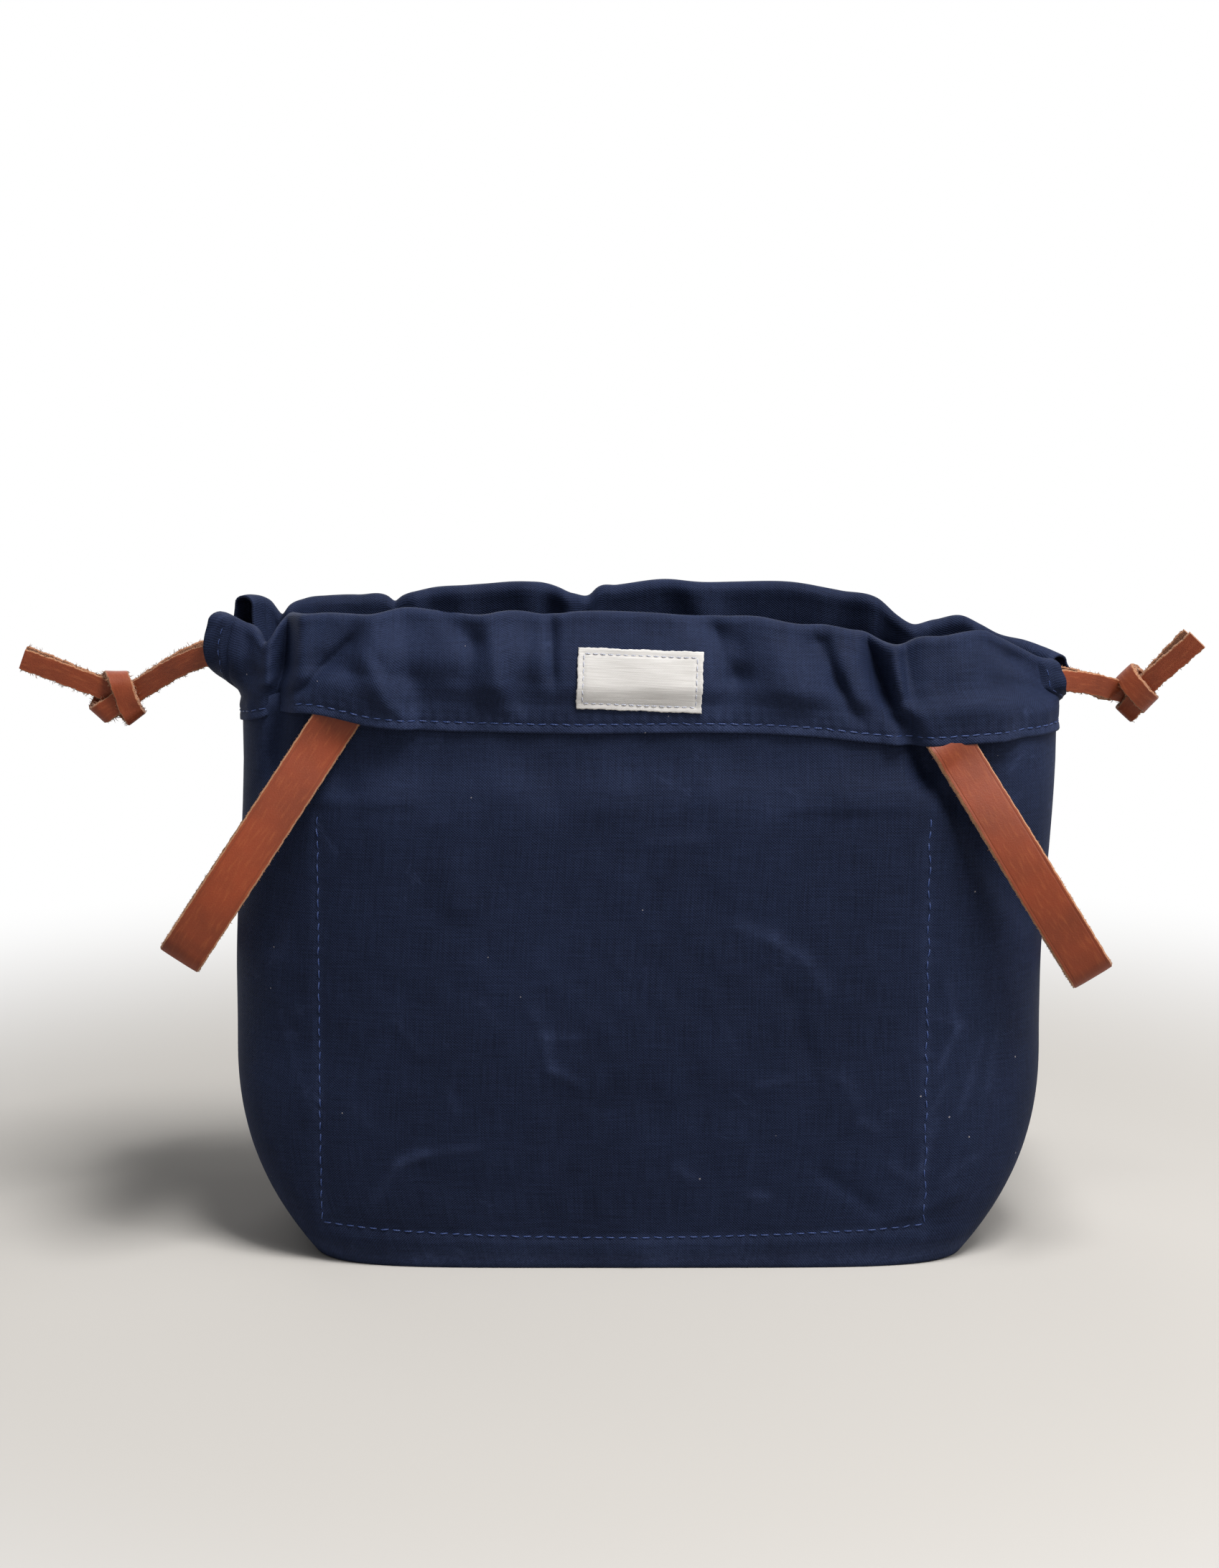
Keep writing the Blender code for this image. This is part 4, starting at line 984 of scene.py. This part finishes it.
def casing_outer(back, shares, up, side=1.0, turn=0.0):
    """One row of a casing's outer (1) or inner (-1) wall; turn carries it over the rim.

    The outer wall has the pleats, a pinch at the stitching, a lip below it, and a hem half a
    millimetre thicker for 9 mm at each end.
    """
    point, out, across = casing_middle(back, shares, up)
    half = np.full_like(across, float(tunnel_half(max(up, 0.0))))
    if side > 0:
        half = half + 0.0043 * (1.0 - float(smooth(up, 0.05, 0.40))) * strap_cover(across)
    z = point[:, 2] + tunnel_half(1.0) * math.sin(turn)
    over = z - seam_height(across, back)
    x_mm, z_mm = point[:, 0] * 1000, z * 1000
    folds = 0.001 * pleats(x_mm, z_mm, BACK_FOLDS if back else FRONT_FOLDS)
    folds = folds * smooth(over, 0.003, 0.010) * (0.4 if side < 0 else 1.0)
    if side < 0 and not back:
        folds = folds + 0.001 * float(smooth(up, 0.1, 0.4)) * pleats(x_mm, z_mm, INNER_SLACK)
    if side > 0:
        folds = folds - 0.0005 * np.exp(-(((over - 0.0032) / 0.0010) ** 2))
        folds = folds + 0.00020 * np.sin(point[:, 0] * 1461.0) * np.exp(-(((over - 0.0045) / 0.003) ** 2))
        folds = folds + 0.00030 * np.sin(point[:, 0] * 260.0) * (1 - smooth(over, 0.0, 0.003))
    near_end = np.minimum(shares, 1.0 - shares) * CASING_WIDTH
    if side > 0:
        half = half + 0.0009 * float(smooth(up, 0.0, 0.25)) * (1.0 - smooth(near_end, 0.0088, 0.0096))
        half = half - 0.0006 * np.exp(-(((near_end - 0.0102) / 0.0009) ** 2))
    closed = 0.45 * (1.0 - float(smooth(up, 0.0, 0.2)))
    half = half * (1.0 - closed * np.exp(-((near_end / 0.014) ** 2)))
    half = half + 0.0014 * np.exp(-((near_end / 0.004) ** 2)) * float(smooth(up, 0.2, 0.5))
    point[:, :2] += ((side * half * math.cos(turn) + folds)[:, None]) * out
    point[:, 2] = z
    if back:
        point[:, 1] *= -1.0
    return point, over


def casing(name, back):
    """Rows up the outer wall, over the rim and down the inner wall."""
    ends = 0.02982 * np.linspace(0.0, 1.0, 12) ** 1.3
    shares = np.concatenate([0.003 + ends, np.linspace(0.034, 0.966, 380), 0.997 - ends[::-1]])
    ups = np.concatenate([np.linspace(-1.0, 0.0, 12), np.linspace(0.0, 1.0, 30)[1:]])
    plan = [(u, 1.0, 0.0) for u in ups]
    plan += [(1.0, 1.0, turn) for turn in np.radians((20, 40, 60, 78))]
    plan += [(1.0, -1.0, turn) for turn in np.radians((85, 60, 40, 20))]
    plan += [(u, -1.0, 0.0) for u in ups[::-1][::2]]
    rows = [casing_outer(back, shares, u, side, turn) for u, side, turn in plan]
    grid = np.array([row[0] for row in rows])
    steps = np.linalg.norm(np.diff(grid, axis=0), axis=2)
    down = np.concatenate([np.zeros((1, grid.shape[1])), np.cumsum(steps, axis=0)])
    uv = np.stack(np.broadcast_arrays(shares[None, :] * CASING_WIDTH + (0.4 if back else 0.0), down), -1)
    over = np.array([row[1] for row in rows])
    outer = np.array([side for _, side, _ in plan])[:, None] > 0
    edge, sewn = np.exp(-((over / 0.0022) ** 2)), np.exp(-(((over - 0.0035) / 0.002) ** 2))
    wear_and_painted_light = 0.16 + np.where(outer, 0.35 * edge + 0.25 * sewn, 0.0)
    item = cloth_mesh(name, grid, uv, canvas_out, CANVAS, offset=0.0, wear_and_painted_light=np.clip(wear_and_painted_light, 0, 1))
    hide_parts(name.replace("band", "casing"))


casing("front_band", False)
casing("back_band", True)

# Laces inside the casings.
# The middle of each lace runs hidden in its casing, edge up, from one open end to the other.


def hidden_lace(name, back):
    """Halfway between a casing's two walls at 0.56 of its height, turned with them.

    Across the strap is the way from the middle at 0.44 of the height to the middle at 0.68.
    """
    shares = np.linspace(0.012, 0.988, 170)
    low, middle, high = (0.5 * (casing_outer(back, shares, up)[0] + casing_outer(back, shares, up, -1.0)[0])
                         for up in (0.44, 0.56, 0.68))
    grain = np.cross(np.gradient(middle, axis=0), high - low) * (-1.0 if back else 1.0)
    rows = np.concatenate([middle, unit(grain)], axis=1)
    item, _ = strap_mesh(name, rows, LACE_WIDTH, LACE_THICKNESS, (lace_grain, lace_edge, lace_flesh),
                         260, 0.0001, 5)
    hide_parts(name.replace("_middle", ""))


hidden_lace("front_lace_middle", False)
hidden_lace("back_lace_middle", True)

# Stitching.
# Bonded polyester thread in a slightly brighter blue: a lockstitch of 4.3 mm along the casings,
# the hems and the pocket. Each stitch sinks into the cloth at both ends.


def sewing_thread(name, colour, shade):
    """Twisted thread: its ply shows as fine diagonal lines 0.35 mm apart."""
    finish, tree, spot, _ = new_finish(name)
    ply = node(tree, "ShaderNodeTexWave", {"Vector": spot, "Scale": 900.0, "Distortion": 1.5},
               bands_direction="DIAGONAL").outputs["Fac"]
    feed(tree, tree.nodes["Principled BSDF"], {
        "Base Color": blend(tree, ply, shade, colour), "Roughness": 0.5,
        "Normal": bump(tree, ply, 0.5, 0.0001),
    })
    return finish


blue_thread = sewing_thread("bonded_thread_blue", "#203b75", "#11244a")


def stitches(name, line, outward, pitch, long, thick, finish, arch=0.00025):
    """A row of stitches along a line on the cloth: short bows, eight-sided, sunk at both ends.

    Point (s, a) of a stitch is centre + ahead * s + outward * arch * (1 - (2 s)^2) plus a ring of
    radius thick / 2 that narrows towards its ends.
    """
    line, outward = np.array(line, float), np.array(outward, float)
    run = run_along(line)
    count = max(1, int(run[-1] / pitch))
    at = (np.arange(count) + 0.5) * run[-1] / count
    rng = np.random.default_rng(len(name) + count)
    s = np.linspace(-0.5, 0.5, 7)
    where = at[:, None] + s[None, :] * long
    middle = np.stack([np.interp(where, run, line[:, k]) for k in range(3)], -1)
    up = unit(np.stack([np.interp(where, run, outward[:, k]) for k in range(3)], -1))
    ahead = unit(np.gradient(middle, axis=1))
    side = np.cross(ahead, up)
    lean = rng.normal(0, 0.10, count)[:, None, None] * thick * 4 * s[None, :, None]
    bow = arch * (1 - (2 * s) ** 2) - 0.25 * thick * np.abs(2 * s) ** 3
    middle = middle + up * bow[None, :, None] + side * lean
    wide = thick / 2 * np.sqrt(np.clip(1.0 - (np.abs(2 * s) * 0.93) ** 3, 0.05, 1.0))
    angle = np.arange(8) * math.pi / 4
    ring = side[:, :, None] * np.cos(angle)[:, None] + up[:, :, None] * (0.75 * np.sin(angle))[:, None]
    points = middle[:, :, None] + ring * wide[None, :, None, None]
    base = (np.arange(count) * 56)[:, None, None]
    faces = (base + grid_quads(7, 8, True)[None]).reshape(-1, 4).tolist()
    caps = np.concatenate([base[:, 0] + np.arange(8)[::-1], base[:, 0] + 48 + np.arange(8)])
    mesh = smooth_mesh(name, points, faces + caps.tolist(), [finish])
    item = placed(name, mesh)
    flip = bmesh.new()
    flip.from_mesh(mesh)
    bmesh.ops.recalc_face_normals(flip, faces=flip.faces)
    flip.to_mesh(mesh)
    flip.free()
    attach(item, "root")


def casing_line(back, above, shares):
    """Points on a casing's outer face a given way above its edge, and the direction out there."""
    up = above / LAP - 1.0
    point, _ = casing_outer(back, shares, up)
    _, out, _ = casing_middle(back, shares, up)
    out = np.column_stack([out, np.zeros(len(out))])
    if back:
        out[:, 1] *= -1.0
    return point + out * (CANVAS / 2 + 0.0001), out


for back, name in ((False, "front_casing_stitches"), (True, "back_casing_stitches")):
    line, out = casing_line(back, 0.0032, np.linspace(0.008, 0.992, 400))
    stitches(name, line, out, 0.0043, 0.0032, 0.00055, blue_thread, arch=0.0002)


def hem_stitches(name, back, share):
    """Up the hem of one open end, 8 mm from it."""
    ups = np.linspace(0.06, 1.0, 30)
    line, outs = [], []
    for up in ups:
        point, _ = casing_outer(back, np.array([share]), up)
        _, out, _ = casing_middle(back, np.array([share]), up)
        out = np.array([out[0, 0], -out[0, 1] if back else out[0, 1], 0.0])
        line.append(point[0] + out * (CANVAS / 2 + 0.0001))
        outs.append(out)
    stitches(name, line, outs, 0.0038, 0.0024, 0.00036, blue_thread, arch=0.00006)


for back, label in ((False, "front"), (True, "back")):
    for share, end_name in ((0.0225, "left"), (0.9775, "right")):
        hem_stitches(f"{label}_hem_stitches_{end_name}", back, share)


def pocket_stitches():
    """Down the left side, along the sagging bottom and up the right side of the pocket's seam."""
    left, right = POCKET_SHIFT - POCKET_HALF, POCKET_SHIFT + POCKET_HALF
    down = np.linspace(POCKET_TOP, POCKET_FLOOR + 0.003, 80)
    wavy = 0.0004 * np.sin(down * 420.0)
    along = np.linspace(left, right, 120)
    bottom = POCKET_FLOOR + pocket_dip(along)
    parts = ((left + 0.3 * wavy, down, "left"), (along, bottom, "bottom"),
             (right + wavy, down[::-1], "right"))
    for x, z, label in parts:
        y = front_face(x, z)
        step = 1e-4
        slope_x = (front_face(x + step, z) - front_face(x - step, z)) / (2 * step)
        out = unit(np.stack([slope_x, -np.ones_like(x), np.zeros_like(x)], -1))
        line = np.stack([x, y, z], -1) + out * 0.0001
        stitches(f"pocket_stitches_{label}", line, out, 0.0043, 0.0031, 0.00058, blue_thread, arch=0.0002)


pocket_stitches()

# Label.
# A small off-white woven tape label, bare, sewn on with fine thread 2 mm in from its edges. Its
# cut edges are a little uneven.


def woven_tape(name):
    """Satin-woven tape: fine ribs 0.25 mm apart, a faint sheen and slight yellowing."""
    finish, tree, _, uv = new_finish(name)
    ribs = streaks(tree, uv, 1 / 0.012, 1 / 0.0005, 3.0)
    tone = calc(tree, "MULTIPLY_ADD", plain_weave(tree, uv, 0.00030, 0.00022), 0.25, ribs)
    tone = ramp(tree, tone, 0.2, 0.8)
    feed(tree, tree.nodes["Principled BSDF"], {
        "Base Color": blend(tree, tone, "#b0adaa", "#d0cecc"), "Roughness": 0.7,
        "Sheen Weight": 0.15, "Normal": bump(tree, tone, 0.5, 0.0001),
    })
    return finish


LABEL_WIDTH, LABEL_HEIGHT, LABEL_TILT = 0.0445, 0.0215, math.radians(-2.3)
label_shares = np.linspace(0.35, 0.65, 160)
label_wall = np.array([casing_outer(False, label_shares, up)[0] for up in np.linspace(-1.0, 1.0, 40)])
wall_rows, wall_columns = label_wall.shape[:2]
label_middle = float(label_wall[0, wall_columns // 2, 2]) + 0.0188


def on_label(u, v, lift):
    """Points over the front casing for places on the label, tilted and laid on the wall."""
    x = u * math.cos(LABEL_TILT) - v * math.sin(LABEL_TILT)
    z = label_middle + u * math.sin(LABEL_TILT) + v * math.cos(LABEL_TILT)
    column = np.interp(x, label_wall[wall_rows // 2, :, 0], np.arange(wall_columns))
    i = np.clip(column.astype(int), 0, wall_columns - 2)
    share = (column - i)[..., None]
    near = label_wall[:, i] * (1 - share) + label_wall[:, i + 1] * share
    rise, depth = np.moveaxis(near[..., 2], 0, -1), np.moveaxis(near[..., 1], 0, -1)
    rise, depth, flat_z = rise.reshape(-1, wall_rows), depth.reshape(-1, wall_rows), np.ravel(z)
    k = np.clip((rise < flat_z[:, None]).sum(1) - 1, 0, wall_rows - 2)
    a = np.arange(len(k))
    t = (flat_z - rise[a, k]) / (rise[a, k + 1] - rise[a, k])
    y = (depth[a, k] * (1 - t) + depth[a, k + 1] * t).reshape(z.shape)
    return np.stack([x, y - CANVAS / 2 - lift, z], axis=-1)


def cut_wander(at, paces, start, inwards, fall):
    """How a cut edge wanders: three sines along it, which fade inwards."""
    wave = np.sin(at * paces[0] + start) + 0.7 * np.sin(at * paces[1]) + 0.6 * np.sin(at * paces[2])
    return wave * np.abs(2 * inwards) ** fall


u_label, v_label = np.meshgrid(np.linspace(-0.5, 0.5, 90), np.linspace(-0.5, 0.5, 50))
edge_wave = 0.00009 * cut_wander(u_label, (19, 57, 131), 1.0, v_label, 6)
side_wave = 0.00012 * cut_wander(v_label, (11, 37, 71), 2.0, u_label, 8)
sewn = np.minimum((0.5 - np.abs(u_label)) * LABEL_WIDTH, (0.5 - np.abs(v_label)) * LABEL_HEIGHT)
pressed = np.exp(-(((sewn - 0.002) / 0.0007) ** 2))
puff = 0.00055 - 0.00022 * pressed + 0.00012 * np.sin(u_label * 9 + v_label * 5)
label_grid = on_label(u_label * LABEL_WIDTH + side_wave, v_label * LABEL_HEIGHT + edge_wave, puff)
label_uv = np.stack([u_label * LABEL_WIDTH, v_label * LABEL_HEIGHT], axis=-1)
tape = cloth_mesh("woven_label", label_grid, label_uv, woven_tape("woven_label_tape"), 0.0005, offset=0.0)
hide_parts("label")

white_thread = sewing_thread("fine_thread_grey_blue", "#c9ccd6", "#8e93a8")
inset_x, inset_z = LABEL_WIDTH / 2 - 0.0021, LABEL_HEIGHT / 2 - 0.0020
sweep, still = np.linspace(-1.0, 1.0, 60), np.ones(60)
for name, u, v in (("top", sweep, still), ("bottom", sweep, -still), ("left", -still, sweep),
                   ("right", still, sweep)):
    line = on_label(inset_x * u, inset_z * v, 0.0007)
    stitches(f"label_stitches_{name}", line, np.tile((0.0, -1.0, 0.0), (60, 1)), 0.00255, 0.0019, 0.00036,
             white_thread, arch=0.00012)
